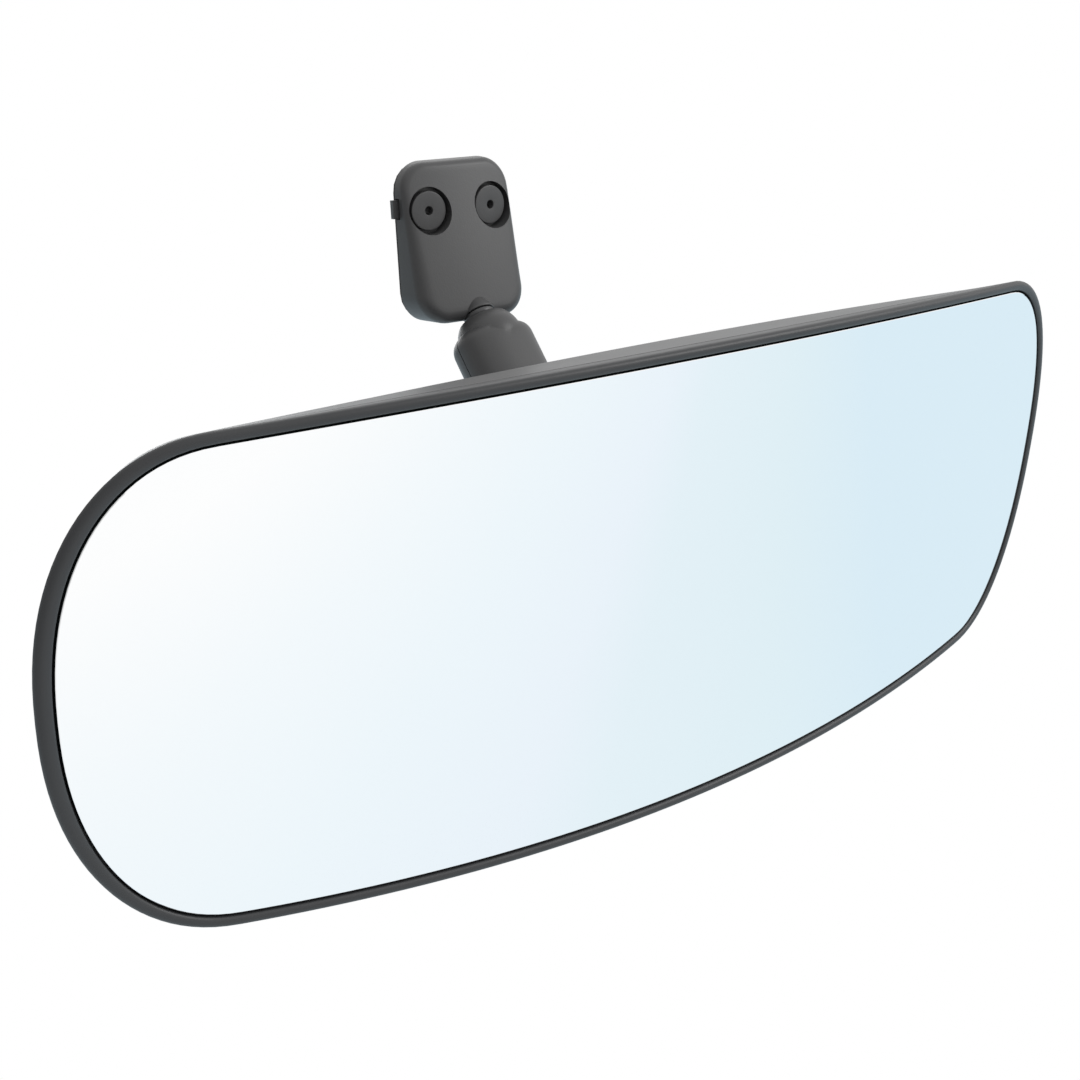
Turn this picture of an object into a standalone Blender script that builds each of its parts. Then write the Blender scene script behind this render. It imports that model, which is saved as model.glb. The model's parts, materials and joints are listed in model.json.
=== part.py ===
"""Interior rearview mirror: a convex glass in a moulded head, on an arm with a ball joint at each end.

Frame: metres, +Z up, +X to the right, +Y away from the driver. The origin is on the rear mounting face
of the base, midway between the two fasteners. Dimensions below are in millimetres.
"""
import math

import bmesh
import bpy
from mathutils import Matrix, Vector

MM = 0.001
GAP = 0.3                     # clearance between neighbouring pieces

# mirror head, in its own frame: x right, y back from the front of the rim, z up
HEAD_WIDTH = 305.0
HEAD_HEIGHT = 118.0
HEAD_CROWN = 6.7              # how far the long edges bow from the middle to the corners
HEAD_CORNER = 35.0            # length of a corner along each side
CORNER_POWER = 2.27           # 2 is an ellipse, more is squarer
HEAD_RADIUS = 515.0           # horizontal curvature of the glass and the head
HEAD_TILT = 7.6               # degrees, top of the head towards the driver
RIM_WIDTH = 2.3               # along the long edges
RIM_END = 0.9                 # how much wider the rim is at each end
LIP_DEPTH = 1.4               # depth of the rim's rounding
BACK_EDGE = 21.0              # depth of the housing's back edge behind the rim, at the middle
BACK_RADIUS = 1200.0          # horizontal curvature of the back, flatter than the glass
SIDE_TAPER = 4.6              # how far the side walls close in between the rim and the back edge
GLASS_RECESS = 0.8
GLASS_THICK = 2.2
GLASS_GAP = 0.5
PAD_THICK = 1.6
CARRIER_THICK = 1.5
BACK_RISE = 9.2               # how far the back domes behind its own edge
HEAD_DEPTH = BACK_EDGE + BACK_RISE
HOUSING_WALL = 2.3

# ball joints
BALL_RADIUS = 6.0
CUP_WALL = 0.8
CUP_IN = BALL_RADIUS + GAP
CUP_OUT = CUP_IN + CUP_WALL
SOCKET_RADIUS = CUP_OUT + GAP
DOME_RADIUS = 8.9
NECK_RADIUS = 3.2
NECK_FLARE = 4.2              # the upper stud widens to this where it meets the base
MOUTH_ANGLE = 50.0            # half angle of each socket's mouth, degrees
UPPER_BALL = Vector((0.0, -17.8, -34.4))
BALL_DEPTH = 54.1             # rim front to the lower ball's centre

# arm, in its own frame: upper ball at the origin, arm along -z, driver's side at -y
ARM_LENGTH = 52.3
ARM_LEAN = 39.0               # degrees forward from straight down
ARM_HALF_WIDTH = 11.3
ARM_HALF_THICK = 8.6
ARM_POWER = 2.5               # 2 is an ellipse, more is squarer
ARM_WALL = 2.3
CLAMP_HEIGHT = -0.5 * ARM_LENGTH

# base
BASE_HALF_WIDTH = 17.2
BASE_TOP = 12.8
BASE_BOTTOM = -29.6
BASE_CORNER = 8.0
BASE_FILLET = 2.2
BASE_DRAFT = 0.2
BASE_WALL = 2.0
FACE_DEPTH = 8.1              # front face at the height of the fasteners
FACE_PITCH = 12.0             # degrees, the base is thicker at the bottom
FACE_RADIUS = 115.0           # the front face curves back to each side
GASKET_THICK = 1.0
PLATE_THICK = 1.5
BLOCK_TOP = -15.5             # the base is solid below this height, to hold the ball stud
FASTENER_SPACING = 20.0
FASTENER_SPLAY = 5.0          # degrees, each fastener is square to the curved face
RECESS_RADIUS = 6.2
SEAT_DEPTH = 3.7              # bottom of a fastener's recess below the front face
HEAD_DISC_RADIUS = 5.3
HEAD_DISC_THICK = 2.2
RIVET_RADIUS = 2.4

ROUND = 24
SMALL_ROUND = 12


# ---- scene and mesh helpers

def clear_scene():
    for thing in list(bpy.data.objects):
        bpy.data.objects.remove(thing, do_unlink=True)


def material(name, color, roughness, metallic=0.0):
    made = bpy.data.materials.get(name)
    if made:
        return made
    made = bpy.data.materials.new(name)
    made.use_nodes = True
    shader = made.node_tree.nodes["Principled BSDF"]
    shader.inputs["Base Color"].default_value = (*color, 1.0)
    shader.inputs["Roughness"].default_value = roughness
    shader.inputs["Metallic"].default_value = metallic
    made.diffuse_color = (*color, 1.0)
    return made


def black_plastic():
    return material("black_plastic", (0.035, 0.036, 0.038), 0.5)


def nylon():
    return material("nylon", (0.05, 0.05, 0.05), 0.45)


def steel():
    return material("zinc_steel", (0.62, 0.63, 0.64), 0.3, 1.0)


def rubber():
    return material("rubber", (0.02, 0.02, 0.02), 0.85)


def make_object(name, mesh_data, look, parent=None, at=(0, 0, 0), turn=(0, 0, 0)):
    """Turns a bmesh in millimetres into an object in metres, its faces flat and pointing out."""
    bmesh.ops.connect_verts_nonplanar(mesh_data, angle_limit=0.001, faces=mesh_data.faces)
    bmesh.ops.recalc_face_normals(mesh_data, faces=mesh_data.faces)
    bmesh.ops.scale(mesh_data, vec=(MM, MM, MM), verts=mesh_data.verts)
    mesh = bpy.data.meshes.new(name)
    mesh_data.to_mesh(mesh)
    mesh_data.free()
    mesh.shade_smooth()
    mesh.set_sharp_from_angle(angle=math.radians(35))
    made = bpy.data.objects.new(name, mesh)
    bpy.context.collection.objects.link(made)
    made.location = Vector(at) * MM
    made.rotation_euler = [math.radians(a) for a in turn]
    made.parent = parent
    if look:
        mesh.materials.append(look)
    return made


def tool(name, mesh_data, like):
    """A hidden cutter or filler in the same local frame as the object it works on."""
    made = make_object("tool_" + name, mesh_data, None)
    made.parent = like.parent
    made.location = like.location
    made.rotation_euler = like.rotation_euler
    made.hide_render = True
    made.display_type = "WIRE"
    return made


def boolean(target, helper, operation):
    step = target.modifiers.new(helper.name, "BOOLEAN")
    step.operation = operation
    step.solver = "EXACT"
    step.object = helper


def cut(target, name, mesh_data):
    boolean(target, tool(name, mesh_data, target), "DIFFERENCE")


def fuse(target, name, mesh_data):
    boolean(target, tool(name, mesh_data, target), "UNION")


def keep(target, name, mesh_data):
    boolean(target, tool(name, mesh_data, target), "INTERSECT")


def empty(name, at, turn):
    made = bpy.data.objects.new(name, None)
    bpy.context.collection.objects.link(made)
    made.location = Vector(at) * MM
    made.rotation_euler = [math.radians(a) for a in turn]
    return made


# ---- shape helpers, in millimetres

def moved(mesh_data, turn=(0, 0, 0), by=(0, 0, 0)):
    """Turns a shape about X, then Y, then Z, then moves it."""
    for angle, axis in zip(turn, "XYZ"):
        spin = Matrix.Rotation(math.radians(angle), 3, axis)
        bmesh.ops.rotate(mesh_data, verts=mesh_data.verts, matrix=spin)
    bmesh.ops.translate(mesh_data, verts=mesh_data.verts, vec=by)
    return mesh_data


def lathe(profile, sides=ROUND):
    """Turns (radius, height) points about Z; points on the axis close the shape, else it is a ring."""
    shape = bmesh.new()
    rings = []
    for radius, height in profile:
        if radius < 1e-6:
            rings.append([shape.verts.new((0, 0, height))] * sides)
            continue
        ring = []
        for i in range(sides):
            a = 2 * math.pi * i / sides
            ring.append(shape.verts.new((radius * math.cos(a), radius * math.sin(a), height)))
        rings.append(ring)
    open_ended = profile[0][0] < 1e-6 and profile[-1][0] < 1e-6
    pairs = list(zip(rings, rings[1:]))
    if not open_ended:
        pairs.append((rings[-1], rings[0]))
    for low, high in pairs:
        if low[0].co.z == high[0].co.z and (low[0] == low[1] or high[0] == high[1]):
            shape.faces.new(high if low[0] == low[1] else low)
            continue
        for i in range(sides):
            j = (i + 1) % sides
            corners = [low[i], low[j], high[j], high[i]]
            corners = [v for k, v in enumerate(corners) if v not in corners[:k]]
            if len(corners) > 2:
                shape.faces.new(corners)
    return shape


def rod(radius, low, high, sides=SMALL_ROUND, edge=0.0):
    """A cylinder along Z, its rims chamfered by edge."""
    side = [(radius, low), (radius, high)]
    if edge:
        side = [(radius - edge, low), (radius, low + edge), (radius, high - edge), (radius - edge, high)]
    return lathe([(0, low), *side, (0, high)], sides)


def tube(inner, outer, low, high, sides=SMALL_ROUND):
    return lathe([(inner, low), (outer, low), (outer, high), (inner, high)], sides)


def block(low, high, edge=0.0, segments=2):
    shape = bmesh.new()
    bmesh.ops.create_cube(shape, size=1.0)
    for v in shape.verts:
        v.co = Vector([a if c < 0 else b for c, a, b in zip(v.co, low, high)])
    if edge:
        bmesh.ops.bevel(
            shape, geom=shape.edges[:], offset=edge, segments=segments, profile=0.5, affect="EDGES"
        )
    return shape


def arc(radius, start, end, steps):
    """Points (radius, height) of a circle about the origin, angles from +Z in degrees."""
    angles = [math.radians(start + (end - start) * i / steps) for i in range(steps + 1)]
    return [(radius * math.sin(a), radius * math.cos(a)) for a in angles]


def sphere(radius, sides=ROUND):
    inner = arc(radius, 0, 180, sides // 2)[1:-1]
    return lathe([(0, radius), *inner, (0, -radius)], sides)


def hex_nut(across_flats, bore, low, high):
    """A hexagon nut along Z: a six-sided ring with a round bore of 24 sides."""
    shape = bmesh.new()
    sides = 24
    rings = []
    for height in (low, high):
        outer = []
        inner = []
        for i in range(sides):
            a = 2 * math.pi * i / sides
            from_flat = a % (math.pi / 3) - math.pi / 6
            flat = 0.5 * across_flats / math.cos(from_flat)
            outer.append(shape.verts.new((flat * math.cos(a), flat * math.sin(a), height)))
            inner.append(shape.verts.new((bore * math.cos(a), bore * math.sin(a), height)))
        rings += [outer, inner]
    low_out, low_in, high_out, high_in = rings
    for first, second in ((low_out, high_out), (high_out, high_in), (high_in, low_in), (low_in, low_out)):
        for i in range(sides):
            j = (i + 1) % sides
            shape.faces.new((first[i], first[j], second[j], second[i]))
    return shape


def coil(radius, wire, low, high, turns, steps_per_turn=16, sides=8):
    """A helical spring along Z."""
    shape = bmesh.new()
    total = int(turns * steps_per_turn)
    rings = []
    for i in range(total + 1):
        turn = 2 * math.pi * i / steps_per_turn
        centre = Vector((radius * math.cos(turn), radius * math.sin(turn), 0))
        centre.z = low + wire + (high - low - 2 * wire) * i / total
        outward = Vector((math.cos(turn), math.sin(turn), 0))
        ring = []
        for k in range(sides):
            a = 2 * math.pi * k / sides
            ring.append(shape.verts.new(centre + wire * (math.cos(a) * outward + Vector((0, 0, math.sin(a))))))
        rings.append(ring)
    for first, second in zip(rings, rings[1:]):
        for k in range(sides):
            j = (k + 1) % sides
            shape.faces.new((first[k], first[j], second[j], second[k]))
    shape.faces.new(rings[0])
    shape.faces.new(rings[-1])
    return shape


def loft(loops, closed=False):
    """Joins loops of equal length. Left open, both end loops are filled with strips across.

    Every loop starts at its top middle and is the same above and below, so point i lies over its partner.
    """
    shape = bmesh.new()
    rings = [[shape.verts.new(p) for p in loop] for loop in loops]
    count = len(rings[0])
    pairs = list(zip(rings, rings[1:]))
    if closed:
        pairs.append((rings[-1], rings[0]))
    for first, second in pairs:
        for i in range(count):
            j = (i + 1) % count
            shape.faces.new((first[i], first[j], second[j], second[i]))
    if not closed:
        for ring in (rings[0], rings[-1]):
            fill_across(shape, ring)
    return shape


def fill_across(shape, ring):
    count = len(ring)
    half = count // 2
    strips = half // 2
    for i in list(range(strips)) + list(range(count - strips, count)):
        corners = [ring[i], ring[(i + 1) % count], ring[(half - i - 1) % count], ring[(half - i) % count]]
        corners = [v for k, v in enumerate(corners) if v not in corners[:k]]
        shape.faces.new(corners)


def full_loop(quarter):
    """Mirrors a quarter outline, from the top middle down the right side, into a whole loop."""
    right = quarter + [(x, -z) for x, z in reversed(quarter) if z > 1e-6]
    left = [(-x, z) for x, z in reversed(right[1:-1])]
    return right + left


# ---- mirror head

def head_outline(inset):
    """The head's front outline, moved in by inset."""
    width = 0.5 * HEAD_WIDTH - inset
    height = 0.5 * HEAD_HEIGHT - inset
    corner = max(HEAD_CORNER - 0.8 * inset, 4.0)
    straight = width - corner
    quarter = []
    for i in range(6):
        x = straight * i / 6
        quarter.append((x, height - HEAD_CROWN * (x / (0.5 * HEAD_WIDTH)) ** 2))
    for i in range(7):
        u = 0.5 * math.pi * i / 6
        x = straight + corner * math.sin(u) ** (2 / CORNER_POWER)
        drop = HEAD_CROWN * (x / (0.5 * HEAD_WIDTH)) ** 2
        quarter.append((x, (height - drop) * max(math.cos(u), 0.0) ** (2 / CORNER_POWER)))
    return full_loop(quarter)


def head_loop(rule):
    """A loop behind the rim front. rule gives each place across the head its inset and its depth."""
    points = []
    for i, (across, _) in enumerate(head_outline(0)):
        inset, depth = rule(across)
        x, z = head_outline(inset)[i]
        points.append((x, depth + x * x / (2 * HEAD_RADIUS), z))
    return points


def level(inset, depth):
    """The same inset and depth all the way round."""
    return head_loop(lambda x: (inset, depth))


def rim(x, more=0.0):
    """Width of the rim at this place across the head, and more."""
    return RIM_WIDTH + RIM_END * (2 * x / HEAD_WIDTH) ** 8 + more


def rim_loop(more, depth):
    """A loop this far inside the rim's inner edge."""
    return head_loop(lambda x: (rim(x, more), depth))


def lip_loop(share, depth):
    """A loop on the rim's rounded front, share of the way across it."""
    return head_loop(lambda x: (share * rim(x), depth))


def back_edge(x):
    """Depth of the housing's back edge behind the rim: the glass curves away faster than the back."""
    return BACK_EDGE + x * x / (2 * BACK_RADIUS) - x * x / (2 * HEAD_RADIUS)


def on_wall(depth, x, inside=0.0):
    """Inset of the tapered side wall at this depth, or of a surface inside it."""
    return inside + SIDE_TAPER * (depth - LIP_DEPTH) / (back_edge(x) - LIP_DEPTH)


def wall_loop(depth, inside=0.0):
    return head_loop(lambda x: (on_wall(depth, x, inside), depth))


def share_loop(share, inside=0.0):
    """A loop on the side wall, share of the way from the bezel's back to the back edge."""
    def rule(x):
        depth = BEZEL_BACK + share * (back_edge(x) - BEZEL_BACK)
        return on_wall(depth, x, inside), depth
    return head_loop(rule)


def dome_loop(inset, rise, wall=0.0):
    """A loop on the back, rise being its share of the dome's height; the dome fades to the ends."""
    points = []
    for x, z in head_outline(inset):
        height = BACK_RISE * rise * (1 - (2 * x / HEAD_WIDTH) ** 2)
        points.append((x, BACK_EDGE + x * x / (2 * BACK_RADIUS) + height - wall, z))
    return points


def head_piece(name, shape, look, pivot):
    """A piece drawn in the head's frame; its parent stands at the lower ball's centre."""
    return make_object(name, shape, look, pivot, at=(0, -BALL_DEPTH, 0))


GLASS_BACK = GLASS_RECESS + GLASS_THICK
LEDGE_FRONT = GLASS_BACK + GAP
LEDGE_INSET = 7.0
PAD_BACK = LEDGE_FRONT + PAD_THICK
BEZEL_BACK = PAD_BACK
CARRIER_FRONT = PAD_BACK + GAP
CARRIER_BACK = CARRIER_FRONT + CARRIER_THICK
CARRIER_INSET = 20.0


def make_glass(pivot):
    look = material("mirror_silver", (0.86, 0.9, 0.92), 0.02, 1.0)
    bevel = 0.4
    loops = [
        rim_loop(GLASS_GAP + bevel, GLASS_RECESS),
        rim_loop(GLASS_GAP, GLASS_RECESS + bevel),
        rim_loop(GLASS_GAP, GLASS_BACK),
    ]
    return head_piece("mirror_glass", loft(loops), look, pivot)


def make_pad(pivot):
    look = material("foam", (0.12, 0.12, 0.12), 0.95)
    inset = LEDGE_INSET + 1.5
    return head_piece("glass_pad", loft([level(inset, LEDGE_FRONT), level(inset, PAD_BACK)]), look, pivot)


def make_carrier(pivot):
    """The stiff plate that the pad bonds the glass to, with a window at each side."""
    look = material("grey_plastic", (0.18, 0.18, 0.18), 0.6)
    loops = [level(CARRIER_INSET, CARRIER_FRONT), level(CARRIER_INSET, CARRIER_BACK)]
    carrier = head_piece("carrier_plate", loft(loops), look, pivot)
    for side in (-1, 1):
        low = (side * 80 - 28, CARRIER_FRONT - 2, -22)
        high = (side * 80 + 28, CARRIER_BACK + 20, 22)
        cut(carrier, f"carrier_window_{side}", block(low, high, 6.0))
    return carrier


def make_bezel(pivot):
    """The frame: a rounded lip, a ledge behind the glass, and a rib that locates in the housing."""
    rib = 0.25
    loops = [
        wall_loop(BEZEL_BACK),
        lip_loop(0, LIP_DEPTH),
        lip_loop(0.08, 0.6),
        lip_loop(0.25, 0.12),
        lip_loop(0.5, 0.0),
        lip_loop(0.76, 0.1),
        lip_loop(0.93, 0.4),
        lip_loop(1, 1.0),
        lip_loop(1, LEDGE_FRONT),
        level(LEDGE_INSET, LEDGE_FRONT),
        level(LEDGE_INSET, BEZEL_BACK),
        share_loop(0, HOUSING_WALL + GAP + 1.2),
        share_loop(rib, HOUSING_WALL + GAP + 1.2),
        share_loop(rib, HOUSING_WALL + GAP),
        share_loop(0, HOUSING_WALL + GAP),
    ]
    return head_piece("front_bezel", loft(loops, closed=True), black_plastic(), pivot)


BRACKET_BACK = HEAD_DEPTH - HOUSING_WALL - 3.9
BRACKET_FRONT = BRACKET_BACK - 2.0
BRACKET_HALF = (33.0, 21.0)
SCREW_PLACES = [(x, z) for x in (-25.0, 25.0) for z in (-14.0, 14.0)]


def along_y(shape, x=0.0, z=0.0):
    """Lays a shape made along Z along the head's depth instead."""
    return moved(shape, turn=(-90, 0, 0), by=(x, 0, z))


def make_housing(pivot):
    """The back shell: tapered sides, and a shallow dome that is much flatter than the glass."""
    wall = HOUSING_WALL
    front = BEZEL_BACK + GAP
    rounding = [(0.7, 0.7), (2.4, 0.0)]
    dome = [(12.0, 0.2), (20.0, 0.52), (30.0, 0.82), (42.0, 1.0)]
    outer = [wall_loop(front), share_loop(0.45), share_loop(0.85)]
    outer += [dome_loop(SIDE_TAPER + inset, 0.0, drop) for inset, drop in rounding]
    outer += [dome_loop(inset, rise) for inset, rise in dome]
    inner = [wall_loop(front, wall), share_loop(0.45, wall)]
    inner += [dome_loop(SIDE_TAPER + wall + 0.4, 0.0, wall + 0.9), dome_loop(12.0, 0.16, wall)]
    inner += [dome_loop(inset, rise, wall) for inset, rise in dome[1:]]
    loops = list(reversed(outer)) + inner
    housing = head_piece("rear_housing", loft(loops), black_plastic(), pivot)
    into_wall = HEAD_DEPTH - 0.6 * wall
    for n, (x, z) in enumerate(SCREW_PLACES):
        fuse(housing, f"screw_boss_{n}", along_y(rod(3.6, BRACKET_BACK + GAP, into_wall + 0.6), x, z))
        cut(housing, f"screw_bore_{n}", along_y(rod(1.8, BRACKET_BACK - 2, into_wall - 0.4), x, z))
    fuse(housing, "stud_boss", along_y(rod(7.5, BRACKET_BACK + GAP, into_wall), 0, 0))
    cut(housing, "stud_bore", along_y(rod(NECK_RADIUS + 0.3, BRACKET_BACK - 2, HEAD_DEPTH + 5), 0, 0))
    return housing


def make_bracket(pivot):
    """A pressed steel plate with a turned lip above and below, screwed to the housing."""
    half_x, half_z = BRACKET_HALF
    plate = block((-half_x, BRACKET_FRONT, -half_z), (half_x, BRACKET_BACK, half_z), 0.5)
    bracket = head_piece("pivot_bracket", plate, steel(), pivot)
    for side in (-1, 1):
        edges = sorted((side * half_z, side * (half_z - 2.0)))
        lip = block((-half_x + 4, BRACKET_FRONT - 4.5, edges[0]), (half_x - 4, BRACKET_BACK - 0.7, edges[1]), 0.4)
        fuse(bracket, f"lip_{side}", lip)
    cut(bracket, "stud_hole", along_y(rod(3.4, BRACKET_FRONT - 5, BRACKET_BACK + 5)))
    for n, (x, z) in enumerate(SCREW_PLACES):
        cut(bracket, f"hole_{n}", along_y(rod(1.9, BRACKET_FRONT - 5, BRACKET_BACK + 5), x, z))
    return bracket


def make_bracket_screws(pivot):
    for n, (x, z) in enumerate(SCREW_PLACES):
        head_low = BRACKET_FRONT - GAP - 2.1
        tip = BRACKET_BACK + 3.6
        profile = [
            (0, head_low + 0.9),
            (1.3, head_low + 0.9),
            (1.3, head_low),
            (2.6, head_low),
            (3.2, head_low + 0.7),
            (3.2, BRACKET_FRONT - GAP),
            (1.5, BRACKET_FRONT - GAP),
            (1.5, tip - 1.2),
            (0.5, tip),
            (0, tip),
        ]
        head_piece(f"bracket_screw_{n + 1}", along_y(lathe(profile, SMALL_ROUND), x, z), steel(), pivot)


WASHER_BACK = BRACKET_FRONT - GAP
WASHER_FRONT = WASHER_BACK - 1.0
NUT_BACK = WASHER_FRONT - GAP
NUT_FRONT = NUT_BACK - 4.0


def make_lower_stud(pivot):
    """Ball, tapered neck, flange and threaded shank, turned about the depth axis."""
    shaft = 2.9
    flange_low = HEAD_DEPTH + GAP
    flange_high = flange_low + 2.2
    top_angle = math.degrees(math.asin((NECK_RADIUS) / BALL_RADIUS))
    ball = [(r, BALL_DEPTH - z) for r, z in arc(BALL_RADIUS, top_angle, 180, 9)][:-1]
    profile = [
        (0, NUT_FRONT - 3.0),
        (shaft - 0.8, NUT_FRONT - 3.0),
        (shaft, NUT_FRONT - 2.2),
        (shaft, flange_low),
        (7.0, flange_low),
        (7.0, flange_high - 0.5),
        (6.5, flange_high),
        (4.6, flange_high),
        (NECK_RADIUS, flange_high + 6.0),
        *ball,
        (0, BALL_DEPTH + BALL_RADIUS),
    ]
    head_piece("lower_ball_stud", along_y(lathe(profile)), steel(), pivot)
    head_piece("stud_washer", along_y(tube(3.2, 6.5, WASHER_FRONT, WASHER_BACK, ROUND)), steel(), pivot)
    head_piece("stud_nut", along_y(hex_nut(10.0, 3.2, NUT_FRONT, NUT_BACK)), steel(), pivot)


def make_collar(pivot):
    """A trim ring that hides the stud's flange on the back of the housing."""
    low = HEAD_DEPTH + GAP + 0.2
    profile = [(7.4, low), (13.5, low), (13.0, low + 1.5), (10.5, low + 3.6), (7.4, low + 4.2)]
    return head_piece("rear_collar", along_y(lathe(profile)), black_plastic(), pivot)


# ---- arm

def mouth(axis_turn=0.0, at=(0, 0, 0)):
    """A cone from the ball's centre that opens a socket, pointing along +Z before axis_turn about X."""
    reach = 14.0
    base = reach * math.tan(math.radians(MOUTH_ANGLE))
    cone = lathe([(0, 0), (base, reach), (0, reach)])
    return moved(cone, turn=(axis_turn, 0, 0), by=at)


LOWER_BALL_LOCAL = (0, 0, -ARM_LENGTH)
STUD_TURN = 90 + ARM_LEAN + HEAD_TILT        # turns +Z to the lower stud's direction in the arm's frame


def arm_ring(z, wide, thick):
    """A section across the arm, a rounded oblong; wide and thick are shares of its full size."""
    quarter = []
    for i in range(7):
        u = 0.5 * math.pi * i / 6
        x = wide * ARM_HALF_WIDTH * math.sin(u) ** (2 / ARM_POWER)
        y = thick * ARM_HALF_THICK * max(math.cos(u), 0.0) ** (2 / ARM_POWER)
        quarter.append((x, y))
    return [(x, y, z) for x, y in full_loop(quarter)]


def arm_half(name, side, pivot):
    """One of the two mouldings that clamp the balls, side -1 towards the driver."""
    shoulders = [(3.0, 0.5, 0.45), (2.5, 0.72, 0.62), (1.6, 0.88, 0.79), (0.2, 0.97, 0.93), (-2.0, 1.0, 1.0)]
    loops = [arm_ring(z, wide, thick) for z, wide, thick in shoulders]
    loops += [arm_ring(-ARM_LENGTH - z, wide, thick) for z, wide, thick in reversed(shoulders)]
    half = make_object(name, loft(loops), black_plastic(), pivot)
    for end, place in (("upper", (0, 0, 0)), ("lower", LOWER_BALL_LOCAL)):
        fuse(half, f"{name}_{end}_dome", moved(sphere(DOME_RADIUS), by=place))
    far = 20.0
    bounds = sorted((side * 0.5 * GAP, side * far))
    keep(half, f"{name}_side", block((-far, bounds[0], -ARM_LENGTH - far), (far, bounds[1], far)))
    for end, place in (("upper", (0, 0, 0)), ("lower", LOWER_BALL_LOCAL)):
        cut(half, f"{name}_{end}_socket", moved(sphere(SOCKET_RADIUS), by=place))
    cut(half, f"{name}_upper_mouth", mouth())
    cut(half, f"{name}_lower_mouth", mouth(STUD_TURN, LOWER_BALL_LOCAL))
    wide = 1 - ARM_WALL / ARM_HALF_WIDTH
    thick = 1 - ARM_WALL / ARM_HALF_THICK
    for n, (low, high) in enumerate(((-20.3, -11.0), (-41.3, -32.0))):
        cut(half, f"{name}_pocket_{n}", loft([arm_ring(low, wide, thick), arm_ring(high, wide, thick)]))
    reach = ARM_HALF_THICK + 2
    centre = (0, 0, CLAMP_HEIGHT)
    cut(half, f"{name}_spring_bore", moved(rod(4.2, -2.0, 2.0, 24), (-90, 0, 0), centre))
    cut(half, f"{name}_screw_bore", moved(rod(2.2, -reach, reach), (-90, 0, 0), centre))
    cut(half, f"{name}_head_bore", moved(rod(4.1, 3.4, reach, 24), (-90, 0, 0), centre))
    cut(half, f"{name}_nut_pocket", moved(rod(4.4, -reach, -3.5, 6), (-90, 0, 0), centre))
    return half


def make_clamp(pivot):
    """The screw that draws the halves together on both balls, and the spring that parts them."""
    centre = (0, 0, CLAMP_HEIGHT)
    washer = moved(tube(2.15, 3.8, 3.7, 4.3, 24), (-90, 0, 0), centre)
    make_object("clamp_washer", washer, steel(), pivot)
    top = 6.3
    profile = [
        (0, -6.1),
        (1.5, -6.1),
        (1.85, -5.7),
        (1.85, 4.6),
        (3.5, 4.6),
        (3.5, top - 0.4),
        (3.1, top),
        (1.5, top),
        (1.5, top - 1.2),
        (0, top - 1.2),
    ]
    screw = moved(lathe(profile, 24), (-90, 0, 0), centre)
    make_object("clamp_screw", screw, steel(), pivot)
    nut = moved(hex_nut(7.0, 2.15, -6.2, -3.8), (-90, 0, 0), centre)
    make_object("clamp_nut", nut, steel(), pivot)
    spring = moved(coil(3.1, 0.4, -1.7, 1.7, 2.5, 10, 6), (-90, 0, 0), centre)
    make_object("clamp_spring", spring, steel(), pivot)


# ---- ball joint liners

def ring_cup(name, pivot, turn=(0, 0, 0), at=(0, 0, 0)):
    """The half of the nylon liner round the neck: a zone of a hollow sphere about +Z."""
    profile = arc(CUP_IN, 34, 76, 3) + arc(CUP_OUT, 76, 34, 3)
    return make_object(name, moved(lathe(profile), turn, at), nylon(), pivot)


def seat_cup(name, pivot, turn=(0, 0, 0), at=(0, 0, 0)):
    """The half of the nylon liner behind the ball: a bowl about +Z."""
    inner = arc(CUP_IN, 180, 112, 5)[1:]
    outer = arc(CUP_OUT, 112, 180, 5)[:-1]
    profile = [(0, -CUP_IN), *inner, *outer, (0, -CUP_OUT)]
    return make_object(name, moved(lathe(profile), turn, at), nylon(), pivot)


# ---- base

def base_outline(inset, bottom=BASE_BOTTOM):
    """A rounded rectangle about the base's middle; points pair up above and below."""
    half_x = BASE_HALF_WIDTH - inset
    low = bottom + inset
    high = BASE_TOP - inset
    middle = 0.5 * (low + high)
    half_z = 0.5 * (high - low)
    corner = max(BASE_CORNER - inset, 1.5)
    quarter = [((half_x - corner) * i / 5, half_z) for i in range(5)]
    for i in range(6):
        u = 0.5 * math.pi * i / 5
        quarter.append((half_x - corner + corner * math.sin(u), half_z - corner + corner * math.cos(u)))
    return [(x, middle + z) for x, z in full_loop(quarter)]


def face_depth(x, z):
    """y of the base's front face: pitched, and curving back to each side."""
    slope = math.tan(math.radians(FACE_PITCH))
    return -FACE_DEPTH + slope * z + x * x / (2 * FACE_RADIUS)


def base_loop(inset, offset, bottom=BASE_BOTTOM):
    """An outline at this offset behind the front face."""
    return [(x, face_depth(x, z) + offset, z) for x, z in base_outline(inset, bottom)]


def fillet_loop(inset, share):
    """An outline on the rounded edge: share is 1 where it meets the side wall and 0 on the front face."""
    points = []
    for x, z in base_outline(inset):
        face = face_depth(x, z)
        wall = min(face + BASE_FILLET, COVER_BACK - 0.6)
        points.append((x, face + share * (wall - face), z))
    return points


def flat_loop(inset, y, bottom=BASE_BOTTOM):
    return [(x, y, z) for x, z in base_outline(inset, bottom)]


COVER_BACK = -(GASKET_THICK + GAP)
PLATE_BACK = -(GASKET_THICK + GAP)
PLATE_FRONT = PLATE_BACK - PLATE_THICK
POCKET_DEPTH = PLATE_FRONT - GAP
EAR_HALF_HEIGHT = 2.4
EAR_HEIGHT = 0.8
EAR_REACH = 1.4


def fastener_frame(side):
    """Where a fastener crosses the front face, and its turn about Z; +Z of its tools runs out of the face."""
    x = 0.5 * FASTENER_SPACING * side
    return (x, face_depth(x, 0), 0), side * FASTENER_SPLAY


def at_fastener(shape, side):
    """Stands a shape made along +Z, zero at the front face, on a fastener's axis."""
    place, splay = fastener_frame(side)
    return moved(shape, turn=(90, 0, splay), by=place)


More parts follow.
